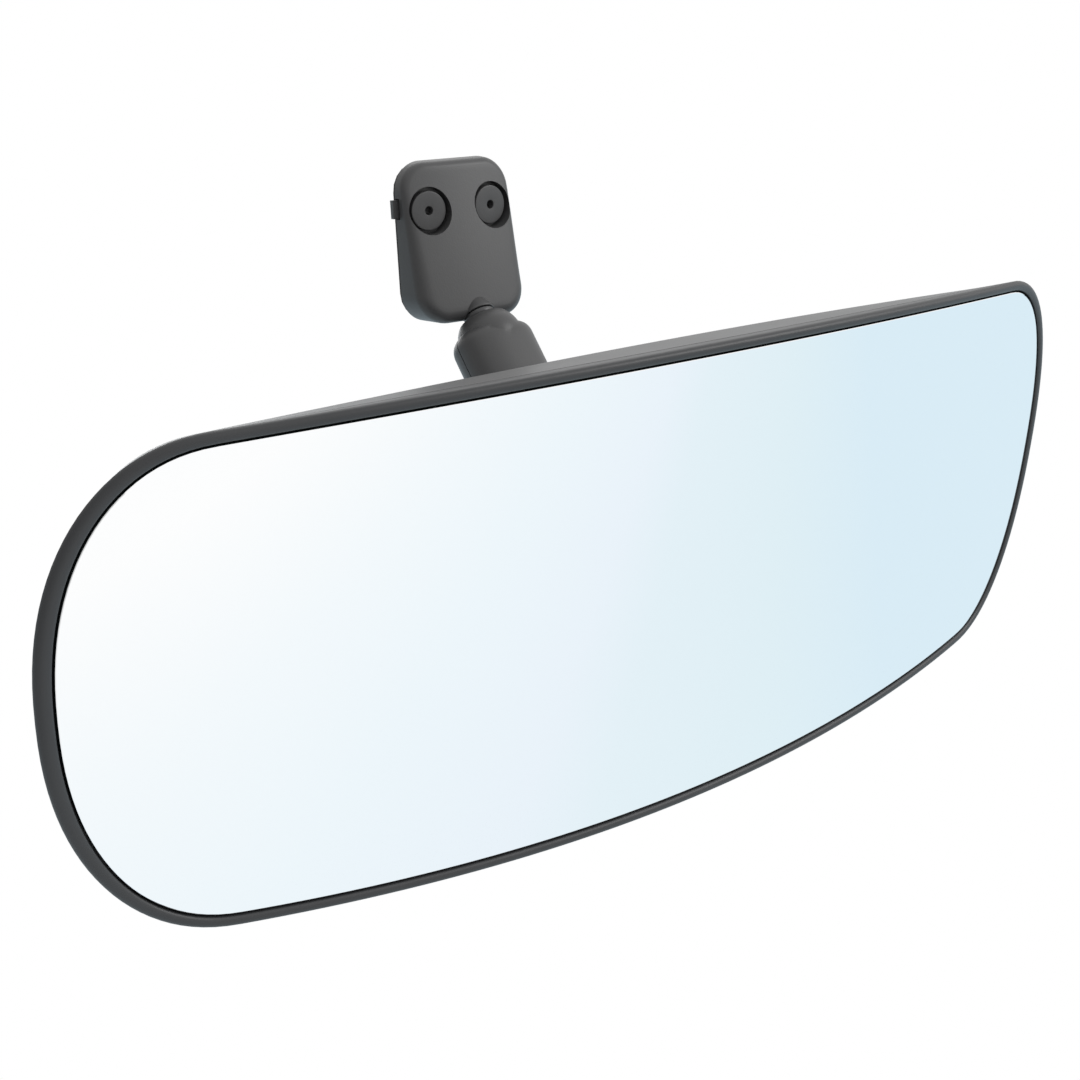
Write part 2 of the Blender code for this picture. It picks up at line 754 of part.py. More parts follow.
def stud_place(shape):
    """Stands a shape made about the upper ball, with its neck along +Z, at the upper ball."""
    return moved(shape, turn=(-ARM_LEAN, 0, 0), by=UPPER_BALL)


SPOUT_LOW = 8.4
STUD_END = 13.6


def make_cover():
    """The base moulding: a wedge, hollow above, solid below round the stud."""
    rings = [flat_loop(0, COVER_BACK)]
    steps = 4
    for i in range(steps + 1):
        a = 0.5 * math.pi * i / steps
        inset = BASE_DRAFT + BASE_FILLET * (1 - math.cos(a))
        rings.append(fillet_loop(inset, 1 - math.sin(a)))
    cover = make_object("base_cover", loft(rings), black_plastic())
    spout = [
        (0, SPOUT_LOW),
        (4.3, SPOUT_LOW),
        (4.6, SPOUT_LOW + 0.4),
        (4.3, SPOUT_LOW + 1.6),
        (3.9, SPOUT_LOW + 2.6),
        (3.0, SPOUT_LOW + 3.6),
        (1.5, SPOUT_LOW + 4.2),
        (0, SPOUT_LOW + 4.4),
    ]
    fuse(cover, "spout", stud_place(lathe(spout)))
    cut(cover, "plate_pocket", loft([flat_loop(BASE_WALL, 1), flat_loop(BASE_WALL, POCKET_DEPTH)]))
    rings = [flat_loop(BASE_WALL + 0.5, -1, BLOCK_TOP), base_loop(BASE_WALL + 1.5, BASE_WALL, BLOCK_TOP)]
    hollow = tool("hollow", loft(rings), cover)
    for side in (-1, 1):
        cut(hollow, f"boss_{side}", at_fastener(rod(RECESS_RADIUS + 1.2, -20, 6, ROUND), side))
    boolean(cover, hollow, "DIFFERENCE")
    ear = BASE_HALF_WIDTH + 3
    low = (-ear, POCKET_DEPTH - 0.15, EAR_HEIGHT - EAR_HALF_HEIGHT - GAP)
    cut(cover, "ear_notch", block(low, (ear, 1, EAR_HEIGHT + EAR_HALF_HEIGHT + GAP)))
    for side in (-1, 1):
        cut(cover, f"recess_{side}", at_fastener(rod(RECESS_RADIUS, -SEAT_DEPTH, 6, 28), side))
        cut(cover, f"bore_{side}", at_fastener(rod(4.1, -20, 6, 24), side))
    cut(cover, "neck_room", stud_place(rod(NECK_FLARE + GAP + 0.1, 2, SPOUT_LOW, ROUND)))
    cut(cover, "stud_bore", stud_place(rod(2.9, SPOUT_LOW - 1, STUD_END + GAP, 24)))
    screw_z = UPPER_BALL.z + 12.0 * math.cos(math.radians(ARM_LEAN))
    screw = moved(rod(1.8, -9.0, 2, SMALL_ROUND), (-90, 0, 0), (0, 0, screw_z))
    cut(cover, "set_screw_bore", screw)
    grub = lathe([(0, -4.4), (0.8, -4.4), (0.8, -3.5), (1.5, -3.5), (1.5, -6.0), (1.0, -6.5), (0, -6.5)], 16)
    make_object("stud_set_screw", moved(grub, (-90, 0, 0), (0, 0, screw_z)), steel())
    return cover


def make_plate_and_gasket():
    """The steel plate behind the cover, with an ear at each side, and the rubber pad behind it."""
    rim = BASE_WALL + 0.4
    plate = make_object("backing_plate", loft([flat_loop(rim, PLATE_BACK), flat_loop(rim, PLATE_FRONT)]), steel())
    reach = BASE_HALF_WIDTH + EAR_REACH
    low = (-reach, PLATE_FRONT + 0.1, EAR_HEIGHT - EAR_HALF_HEIGHT)
    fuse(plate, "ears", block(low, (reach, PLATE_BACK - 0.1, EAR_HEIGHT + EAR_HALF_HEIGHT)))
    gasket = make_object("mount_gasket", loft([flat_loop(0.6, 0), flat_loop(0.6, -GASKET_THICK)]), rubber())
    for side in (-1, 1):
        for target in (plate, gasket):
            cut(target, f"{target.name}_hole_{side}", at_fastener(rod(3.1, -20, 6, 24), side))


def make_fasteners():
    """Hollow rivets with a wide flat head, each through a steel sleeve, their tails set behind the panel."""
    for side, label in ((-1, "left"), (1, "right")):
        place, splay = fastener_frame(side)
        to_back = -place[1] / math.cos(math.radians(splay))
        head_low = -SEAT_DEPTH + GAP
        head_top = head_low + HEAD_DISC_THICK
        tail_low = -(to_back + 2.4)
        tail_end = tail_low - 3.2
        profile = [
            (1.0, tail_end),
            (2.6, tail_end),
            (3.4, tail_end + 0.9),
            (3.4, tail_low - 0.8),
            (RIVET_RADIUS, tail_low),
            (RIVET_RADIUS, head_low),
            (HEAD_DISC_RADIUS, head_low),
            (HEAD_DISC_RADIUS, head_top - 0.3),
            (HEAD_DISC_RADIUS - 0.3, head_top),
            (1.0, head_top),
        ]
        make_object(f"rivet_{label}", at_fastener(lathe(profile), side), steel())
        sleeve_low = -(to_back + POCKET_DEPTH) + 0.6
        sleeve = tube(RIVET_RADIUS + GAP, 3.8, sleeve_low, -SEAT_DEPTH, 24)
        make_object(f"rivet_sleeve_{label}", at_fastener(sleeve, side), steel())


def make_upper_stud():
    """Ball, neck and knurled shank, held in the base by the set screw."""
    top_angle = math.degrees(math.asin(NECK_RADIUS / BALL_RADIUS))
    ball = [(r, z) for r, z in arc(BALL_RADIUS, 180, top_angle, 9)][1:]
    profile = [
        (0, -BALL_RADIUS),
        *ball,
        (NECK_RADIUS, BALL_RADIUS),
        (NECK_FLARE, BALL_RADIUS + 1.2),
        (NECK_FLARE, SPOUT_LOW - GAP),
        (2.6, SPOUT_LOW - GAP),
        (2.6, STUD_END - 0.6),
        (2.0, STUD_END),
        (0, STUD_END),
    ]
    return make_object("upper_ball_stud", lathe(profile), steel(), at=UPPER_BALL, turn=(-ARM_LEAN, 0, 0))


# ---- assembly

def main():
    clear_scene()
    make_cover()
    make_plate_and_gasket()
    make_fasteners()
    make_upper_stud()

    arm_pivot = empty("arm_pivot", UPPER_BALL, (-ARM_LEAN, 0, 0))
    arm_half("arm_front_half", -1, arm_pivot)
    arm_half("arm_rear_half", 1, arm_pivot)
    make_clamp(arm_pivot)
    ring_cup("upper_ball_cup", arm_pivot)
    seat_cup("upper_ball_seat", arm_pivot)

    lean = math.radians(ARM_LEAN)
    lower_ball = UPPER_BALL - ARM_LENGTH * Vector((0, math.sin(lean), math.cos(lean)))
    mirror_pivot = empty("mirror_pivot", lower_ball, (HEAD_TILT, 0, 0))
    ring_cup("lower_ball_cup", mirror_pivot, turn=(90, 0, 0))
    seat_cup("lower_ball_seat", mirror_pivot, turn=(90, 0, 0))
    make_glass(mirror_pivot)
    make_pad(mirror_pivot)
    make_carrier(mirror_pivot)
    make_bezel(mirror_pivot)
    make_housing(mirror_pivot)
    make_bracket(mirror_pivot)
    make_bracket_screws(mirror_pivot)
    make_lower_stud(mirror_pivot)
    make_collar(mirror_pivot)


main()
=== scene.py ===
import json
import math

import bmesh
import bpy
from mathutils import Matrix, Vector


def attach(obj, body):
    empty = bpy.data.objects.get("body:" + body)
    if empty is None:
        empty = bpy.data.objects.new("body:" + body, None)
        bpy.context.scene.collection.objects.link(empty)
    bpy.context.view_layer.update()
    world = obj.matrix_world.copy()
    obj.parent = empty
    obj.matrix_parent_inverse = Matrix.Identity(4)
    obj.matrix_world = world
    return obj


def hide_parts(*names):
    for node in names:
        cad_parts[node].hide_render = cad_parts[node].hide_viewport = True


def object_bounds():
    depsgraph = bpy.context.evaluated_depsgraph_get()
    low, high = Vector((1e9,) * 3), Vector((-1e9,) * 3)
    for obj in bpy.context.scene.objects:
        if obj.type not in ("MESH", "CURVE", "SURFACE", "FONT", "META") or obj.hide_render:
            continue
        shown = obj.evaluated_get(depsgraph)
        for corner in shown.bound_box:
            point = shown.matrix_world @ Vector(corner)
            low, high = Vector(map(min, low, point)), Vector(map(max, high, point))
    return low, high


# Interior rearview mirror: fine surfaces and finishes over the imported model. Lengths are in millimetres.
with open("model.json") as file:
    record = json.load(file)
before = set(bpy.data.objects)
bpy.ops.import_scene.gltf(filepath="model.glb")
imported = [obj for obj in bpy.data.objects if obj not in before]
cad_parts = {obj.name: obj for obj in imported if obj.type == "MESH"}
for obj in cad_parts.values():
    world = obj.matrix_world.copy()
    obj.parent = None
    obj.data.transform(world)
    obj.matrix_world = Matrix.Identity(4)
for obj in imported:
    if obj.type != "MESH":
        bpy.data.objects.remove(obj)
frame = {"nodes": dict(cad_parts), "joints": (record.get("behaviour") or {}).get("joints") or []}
cadLow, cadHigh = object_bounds()
print("frame loaded:", len(frame["nodes"]), "nodes")

mm = 0.001
gap = 0.3                     # clearance between neighbouring pieces
tiny = 1e-6                   # lengths below this count as nothing
weld = 1e-5                   # points closer than this are one
sceneNow = bpy.context.scene


camera = {
    "place": (-0.2289, -0.3468, 0.0349),
    "right": (0.7967, -0.6029, -0.0415),
    "up": (0.213, 0.2158, 0.9529),
    "forward": (0.5656, 0.7681, -0.3004),
    "lens": 50.0, "sensor": 36.0, "near": 0.01, "far": 60.0,
}


def makeCamera():
    data = bpy.data.cameras.new("studioCamera")
    data.lens = camera["lens"]
    data.sensor_width = camera["sensor"]
    data.clip_start = camera["near"]
    data.clip_end = camera["far"]
    view = bpy.data.objects.new("studioCamera", data)
    bpy.context.collection.objects.link(view)
    r, u, f, p = (Vector(camera[k]) for k in ("right", "up", "forward", "place"))
    rows = [(r[i], u[i], -f[i], p[i]) for i in range(3)]
    view.matrix_world = Matrix(rows + [(0, 0, 0, 1)])
    sceneNow.camera = view


makeCamera()

studio = {
    "floorDrop": 0.75,                    # floor below the mirror's middle, metres
    "floorSize": 30.0,
    "tintSlant": 1.2,                     # the floor's tint runs along X plus this much of Y
    "tintStart": -2.0,
    "tintEnd": 1.0,
    "tints": [                            # from plain white to a pale blue
        (0.03, (1.0, 1.0, 1.0)), (0.2, (0.915, 0.96, 0.985)), (0.33, (0.865, 0.935, 0.975)),
        (0.46, (0.835, 0.905, 0.965)), (0.53, (0.79, 0.89, 0.94)), (0.7, (0.755, 0.875, 0.925)),
        (0.9, (0.71, 0.85, 0.93)),
    ],
    "unlitStart": -1.7,                   # the floor fades out towards the unlit side, metres along X
    "unlitEnd": -0.8,
    "white": (1.0, 1.0, 1.0),
    "darkSide": 0.0,                      # brightness of the studio's unlit left side
    "mirrorSide": 0.6,                    # and of its reflection
    "unlitToward": (-0.99, 0.1, -0.1),    # the unlit side as a direction
    "unlitFrom": 0.35,                    # how far a direction points there where the light starts to go
    "unlitFull": 0.8,                     # and where it is gone
}
softboxes = {                             # place from the mirror's middle and size, metres, and power
    "topSoftbox": ((0.5, 0.8, 1.0), 0.9, 2.5),
    "rearSoftbox": ((0.1, 1.3, 0.25), 0.8, 3.0),
    "frontSoftbox": ((1.2, -1.1, 0.9), 0.9, 11.0),
}


def nodeTree(owner):
    owner.use_nodes = True
    tree = owner.node_tree
    tree.nodes.clear()
    return tree


def addNode(tree, kind, place=(0, 0), **settings):
    made = tree.nodes.new(kind)
    made.location = place
    for key, value in settings.items():
        setattr(made, key, value)
    return made


def rampStops(ramp, stops):
    steps = ramp.color_ramp.elements
    while len(steps) < len(stops):
        steps.new(0.5)
    for step, (at, color) in zip(steps, stops):
        step.position = at
        step.color = (*color, 1.0)


def unlitStrength(tree, amount):    # less where it is unlit, and less so in the mirror
    path = addNode(tree, "ShaderNodeLightPath", (-500, 450))
    lowest = addNode(tree, "ShaderNodeMapRange", (-300, 450))
    lowest.inputs["To Min"].default_value = 1 - studio["mirrorSide"]
    lowest.inputs["To Max"].default_value = 1 - studio["darkSide"]
    lost = addNode(tree, "ShaderNodeMath", (-100, 450), operation="MULTIPLY")
    left = addNode(tree, "ShaderNodeMath", (100, 450), operation="SUBTRACT")
    left.inputs[0].default_value = 1.0
    tree.links.new(path.outputs["Is Diffuse Ray"], lowest.inputs["Value"])
    tree.links.new(lowest.outputs["Result"], lost.inputs[0])
    tree.links.new(amount, lost.inputs[1])
    tree.links.new(lost.outputs["Value"], left.inputs[1])
    return left.outputs["Value"]


def makeWorld():
    world = bpy.data.worlds.new("softStudio")
    sceneNow.world = world
    tree = nodeTree(world)
    out = addNode(tree, "ShaderNodeOutputWorld", (700, 0))
    plain = addNode(tree, "ShaderNodeBackground", (300, 150))
    lit = addNode(tree, "ShaderNodeBackground", (300, -100))
    pick = addNode(tree, "ShaderNodeMixShader", (500, 0))
    path = addNode(tree, "ShaderNodeLightPath", (300, 450))
    where = addNode(tree, "ShaderNodeTexCoord", (-500, -100))
    facing = addNode(tree, "ShaderNodeVectorMath", (-300, -100), operation="DOT_PRODUCT")
    facing.inputs[1].default_value = studio["unlitToward"]
    unlit = addNode(tree, "ShaderNodeMapRange", (-100, -100))
    unlit.inputs["From Min"].default_value = studio["unlitFrom"]
    unlit.inputs["From Max"].default_value = studio["unlitFull"]
    lit.inputs["Color"].default_value = (*studio["white"], 1.0)
    plain.inputs["Color"].default_value = (*studio["white"], 1.0)
    tree.links.new(where.outputs["Generated"], facing.inputs[0])
    tree.links.new(facing.outputs["Value"], unlit.inputs["Value"])
    tree.links.new(unlitStrength(tree, unlit.outputs["Result"]), lit.inputs["Strength"])
    tree.links.new(path.outputs["Is Camera Ray"], pick.inputs["Fac"])
    tree.links.new(lit.outputs["Background"], pick.inputs[1])
    tree.links.new(plain.outputs["Background"], pick.inputs[2])
    tree.links.new(pick.outputs["Shader"], out.inputs["Surface"])


def makeFloor():
    size = studio["floorSize"]
    level = 0.5 * (cadLow.z + cadHigh.z) - studio["floorDrop"]
    mesh = bpy.data.meshes.new("studioFloor")
    corners = [(-size, -size, level), (size, -size, level), (size, size, level), (-size, size, level)]
    mesh.from_pydata(corners, [], [(0, 1, 2, 3)])
    floor = bpy.data.objects.new("studioFloor", mesh)
    bpy.context.collection.objects.link(floor)
    look = bpy.data.materials.new("paleFloor")
    tree = nodeTree(look)
    out = addNode(tree, "ShaderNodeOutputMaterial", (700, 0))
    plain = addNode(tree, "ShaderNodeEmission", (300, 150))
    tinted = addNode(tree, "ShaderNodeEmission", (300, -100))
    pick = addNode(tree, "ShaderNodeMixShader", (500, 0))
    path = addNode(tree, "ShaderNodeLightPath", (300, 450))
    where = addNode(tree, "ShaderNodeTexCoord", (-700, -100))
    split = addNode(tree, "ShaderNodeSeparateXYZ", (-500, -100))
    across = addNode(tree, "ShaderNodeMath", (-400, 100), operation="MULTIPLY_ADD")
    across.inputs[1].default_value = studio["tintSlant"]
    span = addNode(tree, "ShaderNodeMapRange", (-300, -100))
    span.inputs["From Min"].default_value = studio["tintStart"]
    span.inputs["From Max"].default_value = studio["tintEnd"]
    ramp = addNode(tree, "ShaderNodeValToRGB", (-100, -100))
    rampStops(ramp, studio["tints"])
    unlit = addNode(tree, "ShaderNodeMapRange", (-300, -400))
    unlit.inputs["From Min"].default_value = studio["unlitEnd"]
    unlit.inputs["From Max"].default_value = studio["unlitStart"]
    plain.inputs["Color"].default_value = (*studio["white"], 1.0)
    tree.links.new(where.outputs["Object"], split.inputs[0])
    tree.links.new(split.outputs["Y"], across.inputs[0])
    tree.links.new(split.outputs["X"], across.inputs[2])
    tree.links.new(split.outputs["X"], unlit.inputs["Value"])
    tree.links.new(across.outputs["Value"], span.inputs["Value"])
    tree.links.new(span.outputs["Result"], ramp.inputs["Fac"])
    tree.links.new(ramp.outputs["Color"], tinted.inputs["Color"])
    tree.links.new(unlitStrength(tree, unlit.outputs["Result"]), tinted.inputs["Strength"])
    tree.links.new(path.outputs["Is Camera Ray"], pick.inputs["Fac"])
    tree.links.new(tinted.outputs["Emission"], pick.inputs[1])
    tree.links.new(plain.outputs["Emission"], pick.inputs[2])
    tree.links.new(pick.outputs["Shader"], out.inputs["Surface"])
    mesh.materials.append(look)


def makeSoftbox(name, place, target, size, power):
    data = bpy.data.lights.new(name, "AREA")
    data.shape = "DISK"
    data.size = size
    data.energy = power
    light = bpy.data.objects.new(name, data)
    bpy.context.collection.objects.link(light)
    light.location = place
    light.rotation_euler = (Vector(target) - Vector(place)).to_track_quat("-Z", "Y").to_euler()


makeWorld()
makeFloor()
middle = 0.5 * (cadLow + cadHigh)
for boxName, (away, across, power) in softboxes.items():
    makeSoftbox(boxName, middle + Vector(away), middle, across, power)
sceneNow.view_settings.view_transform = "Standard"
print("studio ready")


def groupSocket(group, name, way, kind, value=None):
    made = group.interface.new_socket(name=name, in_out=way, socket_type=kind)
    if value is not None:
        made.default_value = value


grainLook = {
    "scale": 2200.0, "detail": 3.0, "roughness": 0.6, "share": 0.55,    # share of the noise over the pits
    "slowScale": 38.0, "slowDetail": 4.0,
}
marksLook = {
    "patchScale": 24.0, "patchDetail": 6.0, "patchFrom": 0.5, "patchFull": 0.8,
    "lineScale": 160.0, "lineDetail": 2.0, "lineFrom": 0.66, "lineFull": 0.72,
    "lineTurn": (0.4, 0.9, 0.3), "lineStretch": (1.0, 14.0, 14.0),
    "dull": 0.15,                         # how much a scratch dulls the gloss
}
mirrorLook = {
    "hazeScale": 14.0, "hazeDetail": 5.0, "clear": 0.012, "hazy": 0.05,
    "pale": (0.985, 0.99, 0.992), "deep": (0.97, 0.978, 0.982),
}


def makeGrainGroup():    # even moulded grain with a slow change in gloss
    group = bpy.data.node_groups.new("mouldedGrain", "ShaderNodeTree")
    groupSocket(group, "Grain Size", "INPUT", "NodeSocketFloat", grainLook["scale"])
    groupSocket(group, "Base Gloss", "INPUT", "NodeSocketFloat", 0.5)
    groupSocket(group, "Gloss Change", "INPUT", "NodeSocketFloat", 0.08)
    groupSocket(group, "Dark", "INPUT", "NodeSocketColor", (0.03, 0.03, 0.03, 1.0))
    groupSocket(group, "Light", "INPUT", "NodeSocketColor", (0.05, 0.05, 0.05, 1.0))
    groupSocket(group, "Color", "OUTPUT", "NodeSocketColor")
    groupSocket(group, "Roughness", "OUTPUT", "NodeSocketFloat")
    groupSocket(group, "Height", "OUTPUT", "NodeSocketFloat")
    come = addNode(group, "NodeGroupInput", (-900, 0))
    leave = addNode(group, "NodeGroupOutput", (700, 0))
    where = addNode(group, "ShaderNodeTexCoord", (-900, -300))
    fine = addNode(group, "ShaderNodeTexNoise", (-600, 200))
    fine.inputs["Detail"].default_value = grainLook["detail"]
    fine.inputs["Roughness"].default_value = grainLook["roughness"]
    pits = addNode(group, "ShaderNodeTexVoronoi", (-600, -50), feature="F1")
    slow = addNode(group, "ShaderNodeTexNoise", (-600, -350))
    slow.inputs["Scale"].default_value = grainLook["slowScale"]
    slow.inputs["Detail"].default_value = grainLook["slowDetail"]
    blend = addNode(group, "ShaderNodeMath", (-300, 100), operation="MULTIPLY_ADD")
    blend.inputs[1].default_value = grainLook["share"]
    centred = addNode(group, "ShaderNodeMath", (-300, -350), operation="SUBTRACT")
    centred.inputs[1].default_value = 0.5
    gloss = addNode(group, "ShaderNodeMath", (0, -350), operation="MULTIPLY_ADD")
    tone = addNode(group, "ShaderNodeMix", (0, 300), data_type="RGBA")
    link = group.links.new
    link(where.outputs["Object"], fine.inputs["Vector"])
    link(where.outputs["Object"], pits.inputs["Vector"])
    link(where.outputs["Object"], slow.inputs["Vector"])
    link(come.outputs["Grain Size"], fine.inputs["Scale"])
    link(come.outputs["Grain Size"], pits.inputs["Scale"])
    link(fine.outputs["Fac"], blend.inputs[0])
    link(pits.outputs["Distance"], blend.inputs[2])
    link(slow.outputs["Fac"], centred.inputs[0])
    link(centred.outputs["Value"], gloss.inputs[0])
    link(come.outputs["Gloss Change"], gloss.inputs[1])
    link(come.outputs["Base Gloss"], gloss.inputs[2])
    link(slow.outputs["Fac"], tone.inputs["Factor"])
    link(come.outputs["Dark"], tone.inputs["A"])
    link(come.outputs["Light"], tone.inputs["B"])
    link(tone.outputs["Result"], leave.inputs["Color"])
    link(gloss.outputs["Value"], leave.inputs["Roughness"])
    link(blend.outputs["Value"], leave.inputs["Height"])
    return group


def makeMarksGroup():    # faint dust and fine scratches in patches
    group = bpy.data.node_groups.new("handlingMarks", "ShaderNodeTree")
    groupSocket(group, "Color", "INPUT", "NodeSocketColor", (0.05, 0.05, 0.05, 1.0))
    groupSocket(group, "Dust", "INPUT", "NodeSocketFloat", 0.06)
    groupSocket(group, "Dust Color", "INPUT", "NodeSocketColor", (0.22, 0.21, 0.2, 1.0))
    groupSocket(group, "Color", "OUTPUT", "NodeSocketColor")
    groupSocket(group, "Scratch", "OUTPUT", "NodeSocketFloat")
    come = addNode(group, "NodeGroupInput", (-900, 0))
    leave = addNode(group, "NodeGroupOutput", (700, 0))
    where = addNode(group, "ShaderNodeTexCoord", (-900, -300))
    stretch = addNode(group, "ShaderNodeMapping", (-700, -450))
    stretch.inputs["Rotation"].default_value = marksLook["lineTurn"]
    stretch.inputs["Scale"].default_value = marksLook["lineStretch"]
    patch = addNode(group, "ShaderNodeTexNoise", (-500, -150))
    patch.inputs["Scale"].default_value = marksLook["patchScale"]
    patch.inputs["Detail"].default_value = marksLook["patchDetail"]
    lines = addNode(group, "ShaderNodeTexNoise", (-500, -450))
    lines.inputs["Scale"].default_value = marksLook["lineScale"]
    lines.inputs["Detail"].default_value = marksLook["lineDetail"]
    patchRamp = addNode(group, "ShaderNodeMapRange", (-250, -150))
    patchRamp.inputs["From Min"].default_value = marksLook["patchFrom"]
    patchRamp.inputs["From Max"].default_value = marksLook["patchFull"]
    lineRamp = addNode(group, "ShaderNodeMapRange", (-250, -450))
    lineRamp.inputs["From Min"].default_value = marksLook["lineFrom"]
    lineRamp.inputs["From Max"].default_value = marksLook["lineFull"]
    amount = addNode(group, "ShaderNodeMath", (0, 0), operation="MULTIPLY")
    tone = addNode(group, "ShaderNodeMix", (300, 200), data_type="RGBA")
    scratch = addNode(group, "ShaderNodeMath", (300, -300), operation="MULTIPLY")
    link = group.links.new
    link(where.outputs["Object"], patch.inputs["Vector"])
    link(where.outputs["Object"], stretch.inputs["Vector"])
    link(stretch.outputs["Vector"], lines.inputs["Vector"])
    link(patch.outputs["Fac"], patchRamp.inputs["Value"])
    link(lines.outputs["Fac"], lineRamp.inputs["Value"])
    link(patchRamp.outputs["Result"], amount.inputs[0])
    link(come.outputs["Dust"], amount.inputs[1])
    link(amount.outputs["Value"], tone.inputs["Factor"])
    link(come.outputs["Color"], tone.inputs["A"])
    link(come.outputs["Dust Color"], tone.inputs["B"])
    link(patchRamp.outputs["Result"], scratch.inputs[0])
    link(lineRamp.outputs["Result"], scratch.inputs[1])
    link(tone.outputs["Result"], leave.inputs["Color"])
    link(scratch.outputs["Value"], leave.inputs["Scratch"])
    return group


grainGroup = makeGrainGroup()
marksGroup = makeMarksGroup()


def makeFinish(name, dark, light, gloss, glossChange=0.08, grain=grainLook["scale"],
               bump=0.05, metallic=0.0, dust=0.05):
    look = bpy.data.materials.new(name)
    tree = nodeTree(look)
    out = addNode(tree, "ShaderNodeOutputMaterial", (900, 0))
    shader = addNode(tree, "ShaderNodeBsdfPrincipled", (600, 0))
    texture = addNode(tree, "ShaderNodeGroup", (-300, 0), node_tree=grainGroup)
    marks = addNode(tree, "ShaderNodeGroup", (0, 200), node_tree=marksGroup)
    relief = addNode(tree, "ShaderNodeBump", (300, -300))
    scuffed = addNode(tree, "ShaderNodeMath", (300, 0), operation="MULTIPLY_ADD")
    texture.inputs["Grain Size"].default_value = grain
    texture.inputs["Base Gloss"].default_value = gloss
    texture.inputs["Gloss Change"].default_value = glossChange
    texture.inputs["Dark"].default_value = (*dark, 1.0)
    texture.inputs["Light"].default_value = (*light, 1.0)
    marks.inputs["Dust"].default_value = dust
    scuffed.inputs[1].default_value = marksLook["dull"]
    relief.inputs["Strength"].default_value = 1.0
    relief.inputs["Distance"].default_value = bump * mm
    shader.inputs["Metallic"].default_value = metallic
    link = tree.links.new
    link(texture.outputs["Color"], marks.inputs["Color"])
    link(marks.outputs["Color"], shader.inputs["Base Color"])
    link(marks.outputs["Scratch"], scuffed.inputs[0])
    link(texture.outputs["Roughness"], scuffed.inputs[2])
    link(scuffed.outputs["Value"], shader.inputs["Roughness"])
    link(texture.outputs["Height"], relief.inputs["Height"])
    link(relief.outputs["Normal"], shader.inputs["Normal"])
    link(shader.outputs["BSDF"], out.inputs["Surface"])
    return look


def makeMirrorFinish():    # a clean reflector with a barely visible haze and no relief
    look = bpy.data.materials.new("silveredGlass")
    tree = nodeTree(look)
    out = addNode(tree, "ShaderNodeOutputMaterial", (700, 0))
    shader = addNode(tree, "ShaderNodeBsdfPrincipled", (400, 0))
    where = addNode(tree, "ShaderNodeTexCoord", (-600, 0))
    haze = addNode(tree, "ShaderNodeTexNoise", (-400, 0))
    haze.inputs["Scale"].default_value = mirrorLook["hazeScale"]
    haze.inputs["Detail"].default_value = mirrorLook["hazeDetail"]
    soft = addNode(tree, "ShaderNodeMapRange", (-150, -100))
    soft.inputs["To Min"].default_value = mirrorLook["clear"]
    soft.inputs["To Max"].default_value = mirrorLook["hazy"]
    tone = addNode(tree, "ShaderNodeMix", (-150, 200), data_type="RGBA")
    tone.inputs["A"].default_value = (*mirrorLook["pale"], 1.0)
    tone.inputs["B"].default_value = (*mirrorLook["deep"], 1.0)
    shader.inputs["Metallic"].default_value = 1.0
    link = tree.links.new
    link(where.outputs["Object"], haze.inputs["Vector"])
    link(haze.outputs["Fac"], soft.inputs["Value"])
    link(haze.outputs["Fac"], tone.inputs["Factor"])
    link(soft.outputs["Result"], shader.inputs["Roughness"])
    link(tone.outputs["Result"], shader.inputs["Base Color"])
    link(shader.outputs["BSDF"], out.inputs["Surface"])
    return look


satinBlack = makeFinish("satinBlackPlastic", (0.052, 0.052, 0.053), (0.062, 0.062, 0.063), 0.42,
                        bump=0.01, dust=0.04)
# the same black plastic at about half the brightness: painted shade for the front-facing rim
rimShadedBlack = makeFinish("rimBlackPlastic", (0.024, 0.025, 0.027), (0.031, 0.032, 0.034), 0.46,
                      bump=0.008, dust=0.03)
coatedSteel = makeFinish("blackCoatedSteel", (0.056, 0.056, 0.057), (0.07, 0.07, 0.071), 0.4,
                         glossChange=0.16, grain=3000.0, bump=0.01, metallic=0.0, dust=0.06)
zincSteel = makeFinish("zincSteel", (0.5, 0.5, 0.49), (0.66, 0.66, 0.64), 0.3,
                       glossChange=0.2, grain=1400.0, bump=0.01, metallic=1.0, dust=0.02)
blackNylon = makeFinish("blackNylon", (0.02, 0.02, 0.02), (0.032, 0.032, 0.032), 0.4, bump=0.01, dust=0.0)
greyPlastic = makeFinish("greyPlastic", (0.15, 0.15, 0.15), (0.2, 0.2, 0.2), 0.6, bump=0.04)
foamPad = makeFinish("foamPad", (0.07, 0.07, 0.07), (0.12, 0.12, 0.12), 0.95, grain=900.0, bump=0.25)
rubberPad = makeFinish("rubberPad", (0.014, 0.014, 0.014), (0.024, 0.024, 0.024), 0.82,
                       grain=1500.0, bump=0.06)
mirrorFinish = makeMirrorFinish()
paneEdge = makeFinish("paneEdge", (0.01, 0.014, 0.014), (0.016, 0.022, 0.022), 0.3, bump=0.0, dust=0.0)
print("finishes ready")


smoothUpTo = 32.0             # degrees between faces that still shade as one surface


def fullLoop(quarter):    # a quarter outline mirrored into a whole one
    right = quarter + [(x, -z) for x, z in reversed(quarter) if z > tiny]
    left = [(-x, z) for x, z in reversed(right[1:-1])]
    return right + left


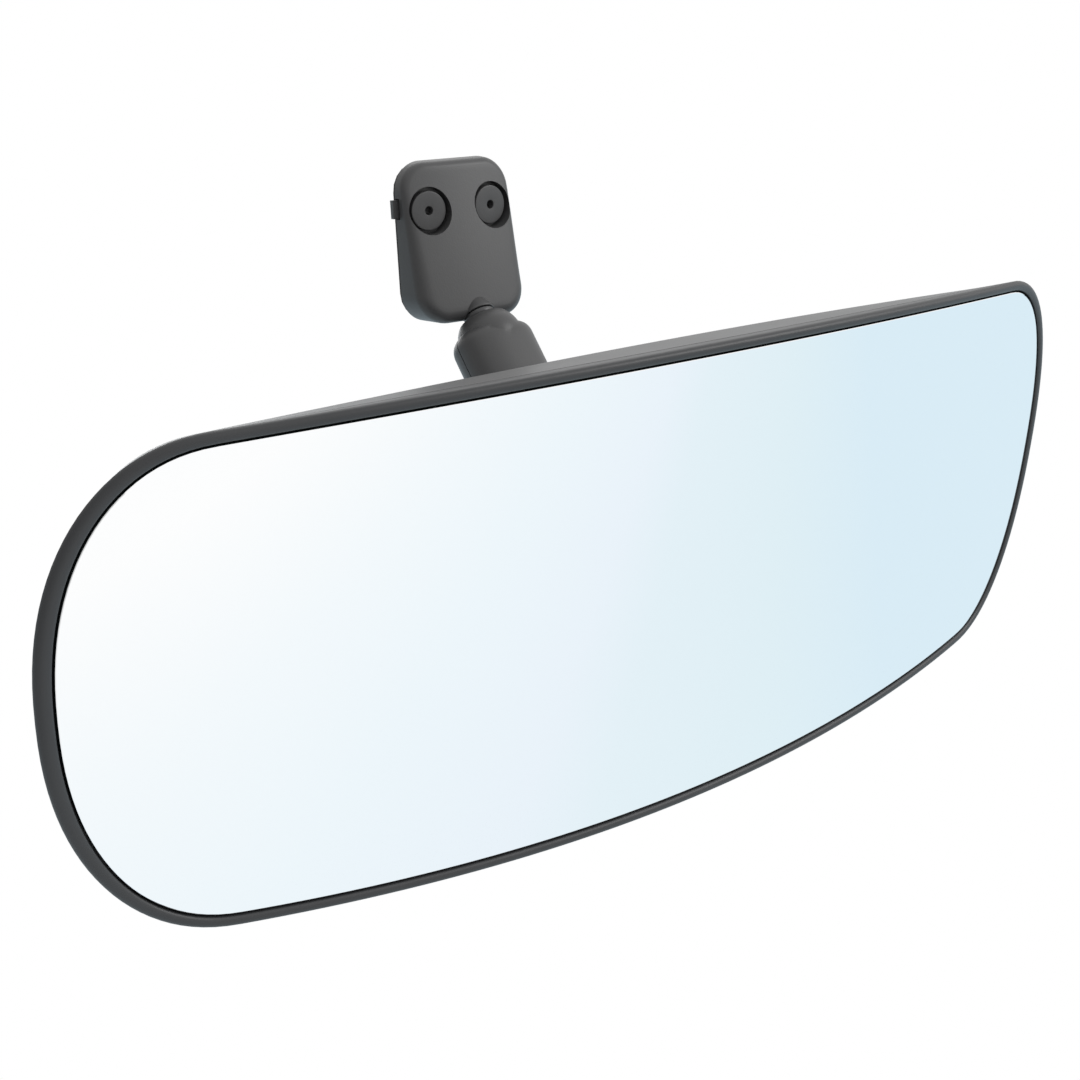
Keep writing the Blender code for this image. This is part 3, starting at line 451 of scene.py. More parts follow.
def loft(loops, closed=False):    # an open loft is closed at each end with upright strips
    shape = bmesh.new()
    rings = [[shape.verts.new(p) for p in loop] for loop in loops]
    count = len(rings[0])
    pairs = list(zip(rings, rings[1:])) + ([(rings[-1], rings[0])] if closed else [])
    for first, second in pairs:
        for i in range(count):
            j = (i + 1) % count
            shape.faces.new((first[i], first[j], second[j], second[i]))
    for ring in () if closed else (rings[0], rings[-1]):
        half = count // 2
        strips = half // 2
        for i in list(range(strips)) + list(range(count - strips, count)):
            places = (i, (i + 1) % count, (half - i - 1) % count, (half - i) % count)
            corners = [ring[at] for at in places]
            shape.faces.new([v for k, v in enumerate(corners) if v not in corners[:k]])
    return shape


def lathe(profile, sides=96):    # turns (radius, height) about Z; a point on the axis closes that end
    shape = bmesh.new()
    rings = []
    for radius, height in profile:
        if radius < tiny:
            rings.append([shape.verts.new((0, 0, height))])
            continue
        turns = [2 * math.pi * k / sides for k in range(sides)]
        points = [(radius * math.cos(a), radius * math.sin(a), height) for a in turns]
        rings.append([shape.verts.new(point) for point in points])
    onAxis = len(rings[0]) == 1
    pairs = list(zip(rings, rings[1:])) + ([] if onAxis else [(rings[-1], rings[0])])
    for first, second in pairs:
        for k in range(sides):
            m = (k + 1) % sides
            corners = [first[k % len(first)], first[m % len(first)]]
            corners += [second[m % len(second)], second[k % len(second)]]
            corners = [v for n, v in enumerate(corners) if v not in corners[:n]]
            if len(corners) > 2:
                shape.faces.new(corners)
    return shape


def rod(radius, low, high, sides=64):
    return lathe([(0, low), (radius, low), (radius, high), (0, high)], sides)


def ball(radius, sides=72):
    steps = sides // 2
    angles = [math.pi * i / steps for i in range(1, steps)]
    arc = [(radius * math.sin(a), -radius * math.cos(a)) for a in angles]
    return lathe([(0.0, -radius)] + arc + [(0.0, radius)], sides)


def box(low, high):
    shape = bmesh.new()
    bmesh.ops.create_cube(shape, size=1.0)
    for v in shape.verts:
        v.co = Vector([low[i] + (v.co[i] + 0.5) * (high[i] - low[i]) for i in range(3)])
    return shape


def placed(shape, *steps):
    for step in steps:
        shape.transform(step)
    return shape


def turn(degrees, axis="X"):
    return Matrix.Rotation(math.radians(degrees), 4, axis)


def shift(x, y, z):
    return Matrix.Translation((x, y, z))


def roundCorner(start, corner, end, radius, steps=5):    # between two straight runs of a profile
    corner = Vector(corner)
    before = (Vector(start) - corner).normalized() * radius
    after = (Vector(end) - corner).normalized() * radius
    points = []
    for i in range(steps + 1):
        t = i / steps
        points.append(tuple(corner + before * (1 - t) ** 2 + after * t ** 2))
    return points


def softProfile(points, radii, steps=5):    # one radius for each point, 0 keeps it sharp
    made = [points[0]]
    for i in range(1, len(points) - 1):
        if radii[i]:
            made += roundCorner(points[i - 1], points[i], points[i + 1], radii[i], steps)
        else:
            made.append(points[i])
    return made + [points[-1]]


def makePiece(name, shape, looks, body=None, replaced=(), sharp=smoothUpTo):    # in metres
    bmesh.ops.remove_doubles(shape, verts=shape.verts, dist=weld)
    bmesh.ops.recalc_face_normals(shape, faces=shape.faces)
    if shape.calc_volume(signed=True) < 0:
        bmesh.ops.reverse_faces(shape, faces=shape.faces)
    shape.transform(Matrix.Scale(mm, 4))
    mesh = bpy.data.meshes.new(name)
    shape.to_mesh(mesh)
    shape.free()
    for look in looks:
        mesh.materials.append(look)
    piece = bpy.data.objects.new(name, mesh)
    bpy.context.collection.objects.link(piece)
    shadeSmooth(piece, sharp)
    if body:
        settle(piece, body, replaced)
    return piece


def shadeSmooth(piece, sharp=smoothUpTo):
    for face in piece.data.polygons:
        face.use_smooth = True
    piece.data.set_sharp_from_angle(angle=math.radians(sharp))


def settle(piece, body, replaced):
    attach(piece, body)
    if replaced:
        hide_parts(*replaced)


def applyModifiers(piece):
    bpy.context.view_layer.update()
    graph = bpy.context.evaluated_depsgraph_get()
    result = bpy.data.meshes.new_from_object(piece.evaluated_get(graph))
    piece.modifiers.clear()
    old = piece.data
    piece.data = result
    result.name = piece.name
    bpy.data.meshes.remove(old)


def discard(piece):
    used = piece.data
    bpy.data.objects.remove(piece)
    bpy.data.meshes.remove(used)


def combine(piece, shape, operation="DIFFERENCE"):    # keeps the plain result
    helper = makePiece("helper", shape, [])
    step = piece.modifiers.new("combine", "BOOLEAN")
    step.operation = operation
    step.solver = "EXACT"
    step.object = helper
    applyModifiers(piece)
    discard(helper)


def chamferEdges(piece, width, angle=50.0):    # on the sharp edges that cuts leave
    soften = piece.modifiers.new("soften", "BEVEL")
    soften.width = width * mm
    soften.segments = 2
    soften.limit_method = "ANGLE"
    soften.angle_limit = math.radians(angle)
    applyModifiers(piece)


joints = {joint["name"]: joint for joint in frame["joints"]}
upperBall = Vector(joints["upper_twist"]["pos_m"]) / mm
lowerBall = Vector(joints["lower_tilt"]["pos_m"]) / mm


head = {
    "width": 305.0, "height": 118.0, "crown": 6.7, "corner": 35.0, "cornerPower": 2.27,
    "glassRadius": 515.0, "tilt": 7.6, "ballDepth": 54.1,
    "rim": 2.3, "rimEnd": 0.9, "lipDepth": 1.4,
    "backEdge": 21.0, "backRadius": 1200.0, "sideTaper": 4.6, "backRise": 9.2,
    "glassRecess": 0.8, "glassThick": 2.2, "glassGap": 0.5,
    "bezelBack": 4.9, "ledgeInset": 7.0, "wall": 2.3,
    "edgeSteps": 26, "cornerSteps": 26,
}
lipLook = {"steps": 14, "power": 0.85, "innerDepth": 1.0, "sideDepths": (3.2, 2.2), "edge": 0.25}
tongue = {"thick": 1.2, "share": 0.25}    # the rim's tongue inside the back shell
paneLook = {"bevel": 0.22, "round": 0.06, "sharp": 7.0, "facing": 0.8}
padLook = {"inset": 8.5, "rows": ((0.4, 0.0), (0.1, 0.12), (0.0, 0.4))}    # each row (inset, depth) at its edge
backLook = {
    "shares": (0.25, 0.5, 0.75, 0.86), "lead": 0.3, "leadInset": 0.25,
    "round": 2.8, "roundStart": 0.35, "roundDrop": 1.6, "roundSteps": 6,
    "flat": 42.0, "riseSteps": 14, "soft": 0.35, "risePower": 1.4, "flatSteps": 3, "flatStep": 3.0,
    "innerRows": ((12.0, 0.1), (20.0, 0.3), (30.0, 0.6), (42.0, 0.97)), "bore": 3.5,
}
collarLook = {"hole": 7.4, "radii": [0, 0.3, 0.5, 1.4, 0.5, 0], "stand": 0.2, "height": 4.2}
headDepth = head["backEdge"] + head["backRise"]
headPlace = (shift(0, -head["ballDepth"], 0), turn(head["tilt"]), Matrix.Translation(lowerBall))


def headOutline(inset):
    width = 0.5 * head["width"] - inset
    height = 0.5 * head["height"] - inset
    corner = max(head["corner"] - 0.8 * inset, 4.0)
    straight = width - corner
    reach = 0.5 * head["width"]
    power = 2 / head["cornerPower"]
    quarter = []
    for i in range(head["edgeSteps"]):
        x = straight * i / head["edgeSteps"]
        quarter.append((x, height - head["crown"] * (x / reach) ** 2))
    for i in range(head["cornerSteps"] + 1):
        u = 0.5 * math.pi * i / head["cornerSteps"]
        x = straight + corner * math.sin(u) ** power
        drop = head["crown"] * (x / reach) ** 2
        quarter.append((x, (height - drop) * max(math.cos(u), 0.0) ** power))
    return fullLoop(quarter)


def headLoop(rule):    # rule gives inset and depth for each place across the head
    outer = headOutline(0)
    insets = [rule(x) for x, z in outer]
    points = []
    for i, (inset, depth) in enumerate(insets):
        x, z = headPoint(i, inset)
        points.append((x, depth + x * x / (2 * head["glassRadius"]), z))
    return points


outlineCache = {}


def headPoint(i, inset):
    key = round(inset, 3)
    if key not in outlineCache:
        outlineCache[key] = headOutline(key)
    return outlineCache[key][i]


def rimAt(x, more=0.0):
    return head["rim"] + head["rimEnd"] * (2 * x / head["width"]) ** 8 + more


def backEdgeAt(x):
    return head["backEdge"] + x * x / (2 * head["backRadius"]) - x * x / (2 * head["glassRadius"])


def onWall(depth, x, inside=0.0):
    lip = head["lipDepth"]
    return inside + head["sideTaper"] * (depth - lip) / (backEdgeAt(x) - lip)


def wallLoop(depth, inside=0.0):
    return headLoop(lambda x: (onWall(depth, x, inside), depth))


def shareLoop(share, inside=0.0):
    def rule(x):
        depth = head["bezelBack"] + share * (backEdgeAt(x) - head["bezelBack"])
        return onWall(depth, x, inside), depth
    return headLoop(rule)


def domeLoop(inset, rise, drop=0.0):
    points = []
    for x, z in headOutline(inset):
        height = head["backRise"] * rise * (1 - (2 * x / head["width"]) ** 2)
        points.append((x, head["backEdge"] + x * x / (2 * head["backRadius"]) + height - drop, z))
    return points


def makeRim():
    lip = []
    steps = lipLook["steps"]
    for i in range(steps + 1):
        a = math.pi * i / steps
        share = 0.5 * (1 - math.cos(a))
        deep = head["lipDepth"] if i <= steps // 2 else lipLook["innerDepth"]
        lip.append((share, deep * (1 - math.sin(a) ** lipLook["power"])))
    loops = [wallLoop(head["bezelBack"]), wallLoop(head["bezelBack"] - lipLook["edge"])]
    loops += [wallLoop(depth) for depth in lipLook["sideDepths"]]
    loops += [headLoop(lambda x, s=s, d=d: (s * rimAt(x), d)) for s, d in lip]
    front = head["glassRecess"] + head["glassThick"] + gap
    clear = head["wall"] + gap
    loops += [
        headLoop(lambda x: (rimAt(x), front)),
        headLoop(lambda x: (head["ledgeInset"], front)),
        headLoop(lambda x: (head["ledgeInset"], head["bezelBack"])),
        shareLoop(0, clear + tongue["thick"]),
        shareLoop(tongue["share"], clear + tongue["thick"]),
        shareLoop(tongue["share"], clear),
        shareLoop(0, clear),
    ]
    shape = placed(loft(loops, closed=True), *headPlace)
    # the rim takes the darkened copy of the black plastic, which is painted shade
    makePiece("mirrorRim", shape, [rimShadedBlack], "mirror", ["front_bezel"])


def makePane():
    bevel = paneLook["bevel"]
    recess = head["glassRecess"]
    inset = head["glassGap"]
    loops = [
        headLoop(lambda x: (rimAt(x, inset + bevel), recess)),
        headLoop(lambda x: (rimAt(x, inset + paneLook["round"]), recess + paneLook["round"])),
        headLoop(lambda x: (rimAt(x, inset), recess + bevel)),
        headLoop(lambda x: (rimAt(x, inset), recess + head["glassThick"])),
    ]
    shape = placed(loft(loops), *headPlace)
    pane = makePiece("mirrorPane", shape, [mirrorFinish, paneEdge], "mirror",
                     ["mirror_glass"], paneLook["sharp"])
    tilt = math.radians(head["tilt"])
    outward = Vector((0, -math.cos(tilt), -math.sin(tilt)))
    for face in pane.data.polygons:
        face.material_index = 0 if face.normal.dot(outward) > paneLook["facing"] else 1


def makePad():
    front = head["glassRecess"] + head["glassThick"] + gap
    back = head["bezelBack"]
    rows = [(padLook["inset"] + more, front + deep) for more, deep in padLook["rows"]]
    rows += [(padLook["inset"] + more, back - deep) for more, deep in reversed(padLook["rows"])]
    shape = loft([headLoop(lambda x, i=inset, d=depth: (i, d)) for inset, depth in rows])
    pad = makePiece("foamBacking", placed(shape, *headPlace), [foamPad], "mirror", ["glass_pad"])


def makeBackShell():
    wall = head["wall"]
    front = head["bezelBack"] + gap
    taper = head["sideTaper"]
    outer = [wallLoop(front + backLook["lead"])] + [shareLoop(share) for share in backLook["shares"]]
    for i in range(1, backLook["roundSteps"] + 1):
        a = 0.5 * math.pi * i / backLook["roundSteps"]
        inset = taper - backLook["roundStart"] + backLook["round"] * (1 - math.cos(a))
        outer.append(domeLoop(inset, 0.0, backLook["roundDrop"] * (1 - math.sin(a))))
    start = taper - backLook["roundStart"] + backLook["round"]
    for i in range(1, backLook["riseSteps"] + 1):
        share = i / backLook["riseSteps"]
        ease = math.sin(0.5 * math.pi * share) ** 2
        rise = backLook["soft"] * ease + (1 - backLook["soft"]) * share ** backLook["risePower"]
        outer.append(domeLoop(start + share * (backLook["flat"] - start), rise))
    for i in range(1, backLook["flatSteps"] + 1):
        outer.append(domeLoop(backLook["flat"] + backLook["flatStep"] * i, 1.0))
    first = headLoop(lambda x: (onWall(front, x, backLook["leadInset"]), front))
    inner = [wallLoop(front, wall), shareLoop(0.45, wall), domeLoop(taper + wall + 0.4, 0.0, wall + 0.9)]
    inner += [domeLoop(inset, rise, wall) for inset, rise in backLook["innerRows"]]
    shape = loft(list(reversed(outer)) + [first] + inner)
    shell = makePiece("mirrorBackShell", placed(shape, *headPlace), [satinBlack])
    bore = placed(rod(backLook["bore"], headDepth - 12, headDepth + 5), turn(-90), *headPlace)
    combine(shell, bore)
    shadeSmooth(shell)
    settle(shell, "mirror", ["rear_housing"])


def makeCollar():
    low = headDepth + gap + collarLook["stand"]
    high = low + collarLook["height"]
    hole = collarLook["hole"]
    points = [(hole, low), (13.5, low), (13.2, low + 1.5), (10.5, low + 3.7), (8.8, high), (hole, high)]
    profile = softProfile(points, collarLook["radii"])
    shape = placed(lathe(profile, 96), turn(-90), *headPlace)
    makePiece("backCollar", shape, [satinBlack], "mirror", ["rear_collar"])


makeRim()
makePane()
makePad()
makeBackShell()
makeCollar()
print("mirror head built")


arm = {
    "lean": 39.0, "length": 52.3, "halfWidth": 11.3, "halfThick": 8.6, "power": 2.5,
    "dome": 8.9, "socket": 7.4, "mouth": 50.0, "clamp": -26.15,
    "cornerSteps": 18, "bands": 24, "keySteps": 4, "bulge": 0.012, "edge": 0.2, "sharp": 40.0,
    "far": 24.0, "mouthReach": 14.0,      # how far the cutting shapes go
}
shoulderKeys = [                          # height, width and thickness from the neck to the straight part
    (3.0, 0.5, 0.45), (2.5, 0.72, 0.62), (1.6, 0.88, 0.79), (0.2, 0.97, 0.93), (-2.0, 1.0, 1.0),
]
clampCut = {
    "spring": 4.2, "springHalf": 2.0, "screw": 2.2, "head": 4.1, "headFloor": 3.4, "nut": 4.4, "nutFloor": 3.5,
}
armPlace = (turn(-arm["lean"]), Matrix.Translation(upperBall))
lowerEnd = shift(0, 0, -arm["length"])


def armRing(z, wide, thick):
    quarter = []
    for i in range(arm["cornerSteps"] + 1):
        u = 0.5 * math.pi * i / arm["cornerSteps"]
        x = wide * arm["halfWidth"] * math.sin(u) ** (2 / arm["power"])
        y = thick * arm["halfThick"] * max(math.cos(u), 0.0) ** (2 / arm["power"])
        quarter.append((x, y))
    return [(x, y, z) for x, y in fullLoop(quarter)]


def shoulderRings():    # eased between the sizes that the model gives it
    rings = []
    for (z0, w0, t0), (z1, w1, t1) in zip(shoulderKeys, shoulderKeys[1:]):
        for i in range(arm["keySteps"]):
            s = i / arm["keySteps"]
            bulge = arm["bulge"] * math.sin(math.pi * s)
            rings.append((z0 + s * (z1 - z0), w0 + s * (w1 - w0) + bulge, t0 + s * (t1 - t0) + bulge))
    return rings + [shoulderKeys[-1]]


def makeMouth(degrees=0.0):
    reach = arm["mouthReach"]
    wide = reach * math.tan(math.radians(arm["mouth"]))
    return placed(lathe([(0, 0), (wide, reach), (0, reach)], 96), turn(degrees))


def makeArmShell(name, node, side):
    rings = shoulderRings()
    loops = [armRing(z, w, t) for z, w, t in rings]
    first = rings[-1][0]
    last = -arm["length"] - first
    bands = arm["bands"]
    loops += [armRing(first + (last - first) * i / bands, 1.0, 1.0) for i in range(1, bands)]
    loops += [armRing(-arm["length"] - z, w, t) for z, w, t in reversed(rings)]
    shell = makePiece(name, placed(loft(loops), *armPlace), [satinBlack])
    combine(shell, placed(ball(arm["dome"]), *armPlace), "UNION")
    combine(shell, placed(ball(arm["dome"]), lowerEnd, *armPlace), "UNION")
    far = arm["far"]
    nearY, farY = sorted((side * 0.5 * gap, side * far))
    half = box((-far, nearY, -arm["length"] - far), (far, farY, far))
    combine(shell, placed(half, *armPlace), "INTERSECT")
    combine(shell, placed(ball(arm["socket"]), *armPlace))
    combine(shell, placed(ball(arm["socket"]), lowerEnd, *armPlace))
    combine(shell, placed(makeMouth(), *armPlace))
    combine(shell, placed(makeMouth(90 + arm["lean"] + head["tilt"]), lowerEnd, *armPlace))
    across = (turn(-90), shift(0, 0, arm["clamp"]), *armPlace)
    reach = arm["halfThick"] + 2
    combine(shell, placed(rod(clampCut["spring"], -clampCut["springHalf"], clampCut["springHalf"]), *across))
    combine(shell, placed(rod(clampCut["screw"], -reach, reach), *across))
    if side > 0:
        combine(shell, placed(rod(clampCut["head"], clampCut["headFloor"], reach), *across))
    else:
        combine(shell, placed(rod(clampCut["nut"], -reach, -clampCut["nutFloor"], 6), *across))
    chamferEdges(shell, arm["edge"])
    shadeSmooth(shell, arm["sharp"])
    settle(shell, "arm", [node])


makeArmShell("armFrontShell", "arm_front_half", -1)
makeArmShell("armRearShell", "arm_rear_half", 1)
print("arm built")


studs = {"ball": 6.0, "neck": 3.2, "flare": 4.2, "shaft": 2.9, "flange": 7.0, "spoutLow": 8.4, "end": 13.6,
         "tail": 2.6, "tip": 2.0, "chamfer": 0.6}
stack = {"seat": 3.9, "bracket": 2.0, "washer": 1.0, "nut": 4.0, "past": 3.0, "flange": 2.2}
clampLook = {"top": 6.3, "under": 4.6, "head": 3.5, "shank": 1.85, "tip": 1.5, "end": -6.1,
             "cross": (0.38, 1.75, 1.15)}    # half width, half length and depth of its recess


def ballArc(start, end, steps=24):
    points = []
    for i in range(steps + 1):
        a = math.radians(start + (end - start) * i / steps)
        points.append((studs["ball"] * math.sin(a), studs["ball"] * math.cos(a)))
    return points


def makeUpperStud():
    top = math.degrees(math.asin(studs["neck"] / studs["ball"]))
    low = studs["spoutLow"] - gap
    body = ballArc(179, top)
    tail = [
        (studs["neck"], 5.6), (studs["neck"], 6.0), (studs["flare"], 7.2), (studs["flare"], low),
        (studs["tail"], low), (studs["tail"], studs["end"] - studs["chamfer"]),
        (studs["tip"], studs["end"]), (0, studs["end"]),
    ]
    profile = [(0, -studs["ball"])] + body + softProfile(tail, [0, 0.2, 0.5, 0.15, 0, 0, 0, 0])
    shape = placed(lathe(profile), *armPlace)
    makePiece("upperStud", shape, [coatedSteel], "base", ["upper_ball_stud"])


def makeLowerStud():
    low = headDepth + gap
    high = low + stack["flange"]
    top = math.degrees(math.asin(studs["neck"] / studs["ball"]))
    bracketFront = headDepth - head["wall"] - stack["seat"] - stack["bracket"]
    start = bracketFront - gap - stack["washer"] - gap - stack["nut"] - stack["past"]
    flange = [
        (studs["shaft"], start + 0.8), (studs["shaft"], low), (studs["flange"], low), (studs["flange"], high),
        (4.6, high), (studs["neck"], high + 6.0), (studs["neck"], high + 7.5),
    ]
    arc = [(r, head["ballDepth"] - z) for r, z in ballArc(top, 179)]
    profile = [(0, start), (studs["shaft"] - 0.8, start)]
    profile += softProfile(flange, [0, 0, 0.2, 0.5, 1.2, 1.5, 0])
    profile += arc + [(0, head["ballDepth"] + studs["ball"])]
    shape = placed(lathe(profile), turn(-90), *headPlace)
    makePiece("lowerStud", shape, [coatedSteel], "mirror", ["lower_ball_stud"])


def makeClampScrew():
    end, shank, under, topFace = (clampLook[key] for key in ("end", "shank", "under", "top"))
    points = [
        (0, end), (clampLook["tip"], end), (shank, end + 0.4), (shank, under),
        (clampLook["head"], under), (clampLook["head"], topFace), (0, topFace),
    ]
    shape = lathe(softProfile(points, [0, 0, 0, 0, 0.15, 0.6, 0]), 72)
    across = (turn(-90), shift(0, 0, arm["clamp"]), *armPlace)
    screw = makePiece("clampScrew", placed(shape, *across), [zincSteel])
    wide, long, deep = clampLook["cross"]
    for degrees in (45, 135):                       # the cross recess in its head
        slot = box((-wide, -long, topFace - deep), (wide, long, topFace + 1))
        combine(screw, placed(slot, turn(degrees, "Z"), *across))
    shadeSmooth(screw)
    settle(screw, "arm", ["clamp_screw"])


makeUpperStud()
makeLowerStud()
makeClampScrew()
print("studs and clamp screw built")


base = {
    "halfWidth": 17.2, "top": 12.8, "bottom": -29.6, "corner": 8.0, "wall": 2.0,
    "filletTop": 1.9, "filletBottom": 3.4, "draft": 0.2,
    "faceDepth": 8.1, "pitch": 12.0, "faceRadius": 115.0,
    "coverBack": -1.3, "pocketDepth": -3.1,
    "recess": 6.2, "seat": 3.7, "spacing": 20.0, "splay": 5.0,
    "earHeight": 0.8, "earHalf": 2.4, "earReach": 3.0, "earFloor": 0.15,
    "middle": 15.5, "faceSteps": 12, "filletSteps": 8, "level": 6.0,
    "backEdge": ((0.3, 0.0), (0.05, 0.25)),     # inset and depth of the loops at the back
    "fastenerHole": 4.1, "setScrewHole": 2.9,
}
spoutLook = {                             # radius and height above the spout's foot, and each corner's radius
    "points": ((0, 0), (4.5, 0), (4.5, 0.5), (3.9, 2.0), (3.3, 3.4), (2.6, 4.2), (0, 4.4)),
    "radii": [0, 0.2, 0.3, 0.6, 0.6, 0.6, 0],
}


def baseOutline(inset):
    halfX = base["halfWidth"] - inset
    low, high = base["bottom"] + inset, base["top"] - inset
    centre, halfZ = 0.5 * (low + high), 0.5 * (high - low)
    corner = max(base["corner"] - inset, 0.25)
    quarter = [((halfX - corner) * i / 8, halfZ) for i in range(8)]
    for i in range(15):
        u = 0.5 * math.pi * i / 14
        quarter.append((halfX - corner + corner * math.sin(u), halfZ - corner + corner * math.cos(u)))
    for i in range(1, 8):
        quarter.append((halfX, (halfZ - corner) * (1 - i / 8)))
    return [(x, centre + z) for x, z in fullLoop(quarter)]


def faceAt(x, z):
    slope = math.tan(math.radians(base["pitch"]))
    return -base["faceDepth"] + slope * z + x * x / (2 * base["faceRadius"])


def filletAt(z):
    high, low = base["top"] - base["level"], base["bottom"] + base["level"]
    share = min(max((high - z) / (high - low), 0.0), 1.0)
    share = share * share * (3 - 2 * share)
    return base["filletTop"] + (base["filletBottom"] - base["filletTop"]) * share


def filletLoop(swing):    # swing runs from 0 on the side wall to 1 on the front face
    a = 0.5 * math.pi * swing
    outer = baseOutline(0)
    points = []
    for i, (x, z) in enumerate(outer):
        size = filletAt(z)
        inset = base["draft"] + size * (1 - math.cos(a))
        inX, inZ = outlineAt(i, inset)
        face = faceAt(inX, inZ)
        wall = min(face + size, base["coverBack"] - 0.6)
        points.append((inX, face + (1 - math.sin(a)) * (wall - face), inZ))
    return points


baseCache = {}


def outlineAt(i, inset):
    key = round(inset, 3)
    if key not in baseCache:
        baseCache[key] = baseOutline(key)
    return baseCache[key][i]


def faceLoops():    # closing in from the rounded edge to the middle line
    loops = []
    steps = base["faceSteps"]
    for k in range(1, steps + 1):
        share = k / steps
        points = []
        for i, (x, z) in enumerate(baseOutline(0)):
            start = base["draft"] + filletAt(z)
            inset = start + share * (base["middle"] - start)
            inX, inZ = outlineAt(i, inset)
            points.append((inX, faceAt(inX, inZ), inZ))
        loops.append(points)
    return loops


def fastenerPlace(side):
    x = 0.5 * base["spacing"] * side
    return (turn(90), turn(side * base["splay"], "Z"), shift(x, faceAt(x, 0), 0))


def makeBaseShell():
    back = base["coverBack"]
    loops = [[(x, back - deep, z) for x, z in baseOutline(inset)] for inset, deep in base["backEdge"]]
    steps = base["filletSteps"]
    loops += [filletLoop(i / steps) for i in range(steps + 1)] + faceLoops()
    cover = makePiece("baseShell", loft(loops), [satinBlack])
    low = studs["spoutLow"]
    spout = softProfile([(r, low + z) for r, z in spoutLook["points"]], spoutLook["radii"])
    combine(cover, placed(lathe(spout, 72), *armPlace), "UNION")
    pocket = [[(x, y, z) for x, z in baseOutline(base["wall"])] for y in (1.0, base["pocketDepth"])]
    combine(cover, loft(pocket))
    ear = base["halfWidth"] + base["earReach"]
    lowEar = base["earHeight"] - base["earHalf"] - gap
    highEar = base["earHeight"] + base["earHalf"] + gap
    combine(cover, box((-ear, base["pocketDepth"] - base["earFloor"], lowEar), (ear, 1, highEar)))
    for side in (-1, 1):
        combine(cover, placed(rod(base["recess"], -base["seat"], 6, 96), *fastenerPlace(side)))
        combine(cover, placed(rod(base["fastenerHole"], -20, 6), *fastenerPlace(side)))
    combine(cover, placed(rod(studs["flare"] + 0.4, 2, low), *armPlace))
    combine(cover, placed(rod(base["setScrewHole"], low - 1, studs["end"] + gap), *armPlace))
    shadeSmooth(cover)
    settle(cover, "base", ["base_cover"])


makeBaseShell()
print("base built")


rivet = {
    "columns": 2, "rows": 1, "disc": 5.1, "discThick": 2.2, "shank": 2.4, "bore": 1.15, "hole": 2.6,
    "tail": 3.4, "tailTip": 2.6, "panel": 2.4, "tailLength": 3.2, "crown": 3.0,
    "radii": [0, 0.3, 0.3, 0.3, 0.2, 0, 0.15, 0.28, 0.5, 0.16, 0, 0],
}


def makeGridTree():    # copies of one piece on a grid in the XZ plane, turned about Z
    tree = bpy.data.node_groups.new("setOnGrid", "GeometryNodeTree")
    for name, kind, value in (
        ("Piece", "NodeSocketObject", None), ("Columns", "NodeSocketInt", 2), ("Rows", "NodeSocketInt", 1),
        ("Width", "NodeSocketFloat", 0.02), ("Height", "NodeSocketFloat", 0.0),
        ("Turn Per Metre", "NodeSocketFloat", 0.0), ("Offset", "NodeSocketVector", None),
        ("Material", "NodeSocketMaterial", None),
    ):
        groupSocket(tree, name, "INPUT", kind, value)
    groupSocket(tree, "Geometry", "OUTPUT", "NodeSocketGeometry")
    come = addNode(tree, "NodeGroupInput", (-900, 0))
    leave = addNode(tree, "NodeGroupOutput", (900, 0))
    grid = addNode(tree, "GeometryNodeMeshGrid", (-600, 200))
    upright = addNode(tree, "GeometryNodeTransform", (-350, 200))
    upright.inputs["Rotation"].default_value = (0.5 * math.pi, 0, 0)
    source = addNode(tree, "GeometryNodeObjectInfo", (-350, -150), transform_space="ORIGINAL")
    where = addNode(tree, "GeometryNodeInputPosition", (-600, -400))
    split = addNode(tree, "ShaderNodeSeparateXYZ", (-400, -400))
    swing = addNode(tree, "ShaderNodeMath", (-200, -400), operation="MULTIPLY")
    spin = addNode(tree, "ShaderNodeCombineXYZ", (0, -400))
    copies = addNode(tree, "GeometryNodeInstanceOnPoints", (150, 100))
    seat = addNode(tree, "GeometryNodeTransform", (350, 100))
    plain = addNode(tree, "GeometryNodeRealizeInstances", (520, 100))
    paint = addNode(tree, "GeometryNodeSetMaterial", (700, 100))
    link = tree.links.new
    link(come.outputs["Columns"], grid.inputs["Vertices X"])
    link(come.outputs["Rows"], grid.inputs["Vertices Y"])
    link(come.outputs["Width"], grid.inputs["Size X"])
    link(come.outputs["Height"], grid.inputs["Size Y"])
    link(grid.outputs["Mesh"], upright.inputs["Geometry"])
    link(come.outputs["Piece"], source.inputs["Object"])
    link(where.outputs["Position"], split.inputs[0])
    link(split.outputs["X"], swing.inputs[0])
    link(come.outputs["Turn Per Metre"], swing.inputs[1])
    link(swing.outputs["Value"], spin.inputs["Z"])
    link(upright.outputs["Geometry"], copies.inputs["Points"])
    link(source.outputs["Geometry"], copies.inputs["Instance"])
    link(spin.outputs["Vector"], copies.inputs["Rotation"])
    link(copies.outputs["Instances"], seat.inputs["Geometry"])
    link(come.outputs["Offset"], seat.inputs["Translation"])
    link(seat.outputs["Geometry"], plain.inputs["Geometry"])
    link(plain.outputs["Geometry"], paint.inputs["Geometry"])
    link(come.outputs["Material"], paint.inputs["Material"])
    link(paint.outputs["Geometry"], leave.inputs["Geometry"])
    return tree


def grown(name, tree, values):    # the plain mesh that a tree makes from its named inputs
    carrier = bpy.data.objects.new(name, bpy.data.meshes.new(name))
    bpy.context.collection.objects.link(carrier)
    step = carrier.modifiers.new("grow", "NODES")
    step.node_group = tree
    for item in tree.interface.items_tree:
        if item.item_type == "SOCKET" and item.in_out == "INPUT" and item.name in values:
            step[item.identifier] = values[item.name]
    applyModifiers(carrier)
    return carrier


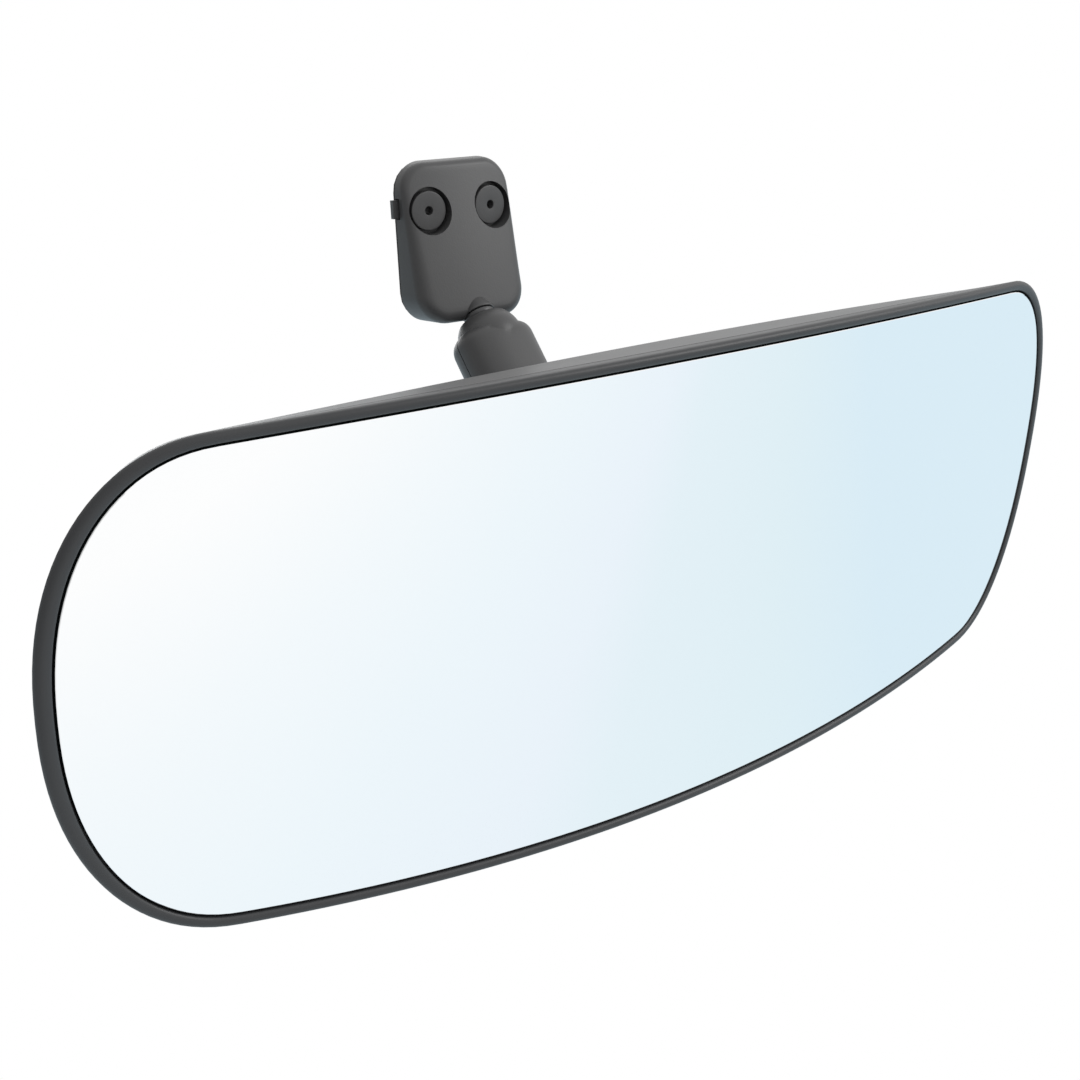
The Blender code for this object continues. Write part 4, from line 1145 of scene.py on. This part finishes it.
def makeRivets():
    x = 0.5 * base["spacing"]
    toBack = -faceAt(x, 0) / math.cos(math.radians(base["splay"]))
    headLow = -base["seat"] + gap
    headTop = headLow + rivet["discThick"]
    tailLow = -(toBack + rivet["panel"])
    tailEnd = tailLow - rivet["tailLength"]
    stub = headTop - rivet["hole"]                  # the broken mandrel closes the hole at this depth
    points = [
        (0, tailEnd), (rivet["tailTip"], tailEnd), (rivet["tail"], tailEnd + 0.9),
        (rivet["tail"], tailLow - 0.8), (rivet["shank"], tailLow),
        (rivet["shank"], headLow), (rivet["disc"], headLow), (rivet["disc"], headTop - 0.05),
        (rivet["crown"], headTop),
        (rivet["bore"], headTop), (rivet["bore"], stub), (0, stub),
    ]
    profile = softProfile(points, rivet["radii"])
    shape = placed(lathe(profile, 96), turn(90))
    proto = makePiece("rivetProto", shape, [coatedSteel])
    pair = grown("rivetPair", makeGridTree(), {
        "Piece": proto, "Columns": rivet["columns"], "Rows": rivet["rows"],
        "Width": base["spacing"] * mm, "Height": 0.0,
        "Turn Per Metre": math.radians(base["splay"]) / (x * mm),
        "Offset": (0.0, faceAt(x, 0) * mm, 0.0), "Material": coatedSteel,
    })
    discard(proto)
    shadeSmooth(pair)
    settle(pair, "base", ["rivet_left", "rivet_right"])


makeRivets()
print("rivets set")


carried = {
    "backing_plate": coatedSteel, "mount_gasket": rubberPad, "stud_set_screw": coatedSteel,
    "rivet_sleeve_left": zincSteel, "rivet_sleeve_right": zincSteel,
    "upper_ball_cup": blackNylon, "upper_ball_seat": blackNylon,
    "lower_ball_cup": blackNylon, "lower_ball_seat": blackNylon,
    "clamp_washer": zincSteel, "clamp_nut": zincSteel, "clamp_spring": zincSteel,
    "carrier_plate": greyPlastic, "pivot_bracket": zincSteel,
    "bracket_screw_1": zincSteel, "bracket_screw_2": zincSteel,
    "bracket_screw_3": zincSteel, "bracket_screw_4": zincSteel,
    "stud_washer": zincSteel, "stud_nut": zincSteel,
}
for node, look in carried.items():
    for slotNow in frame["nodes"][node].material_slots:
        slotNow.material = look
print("carried pieces finished:", len(carried))
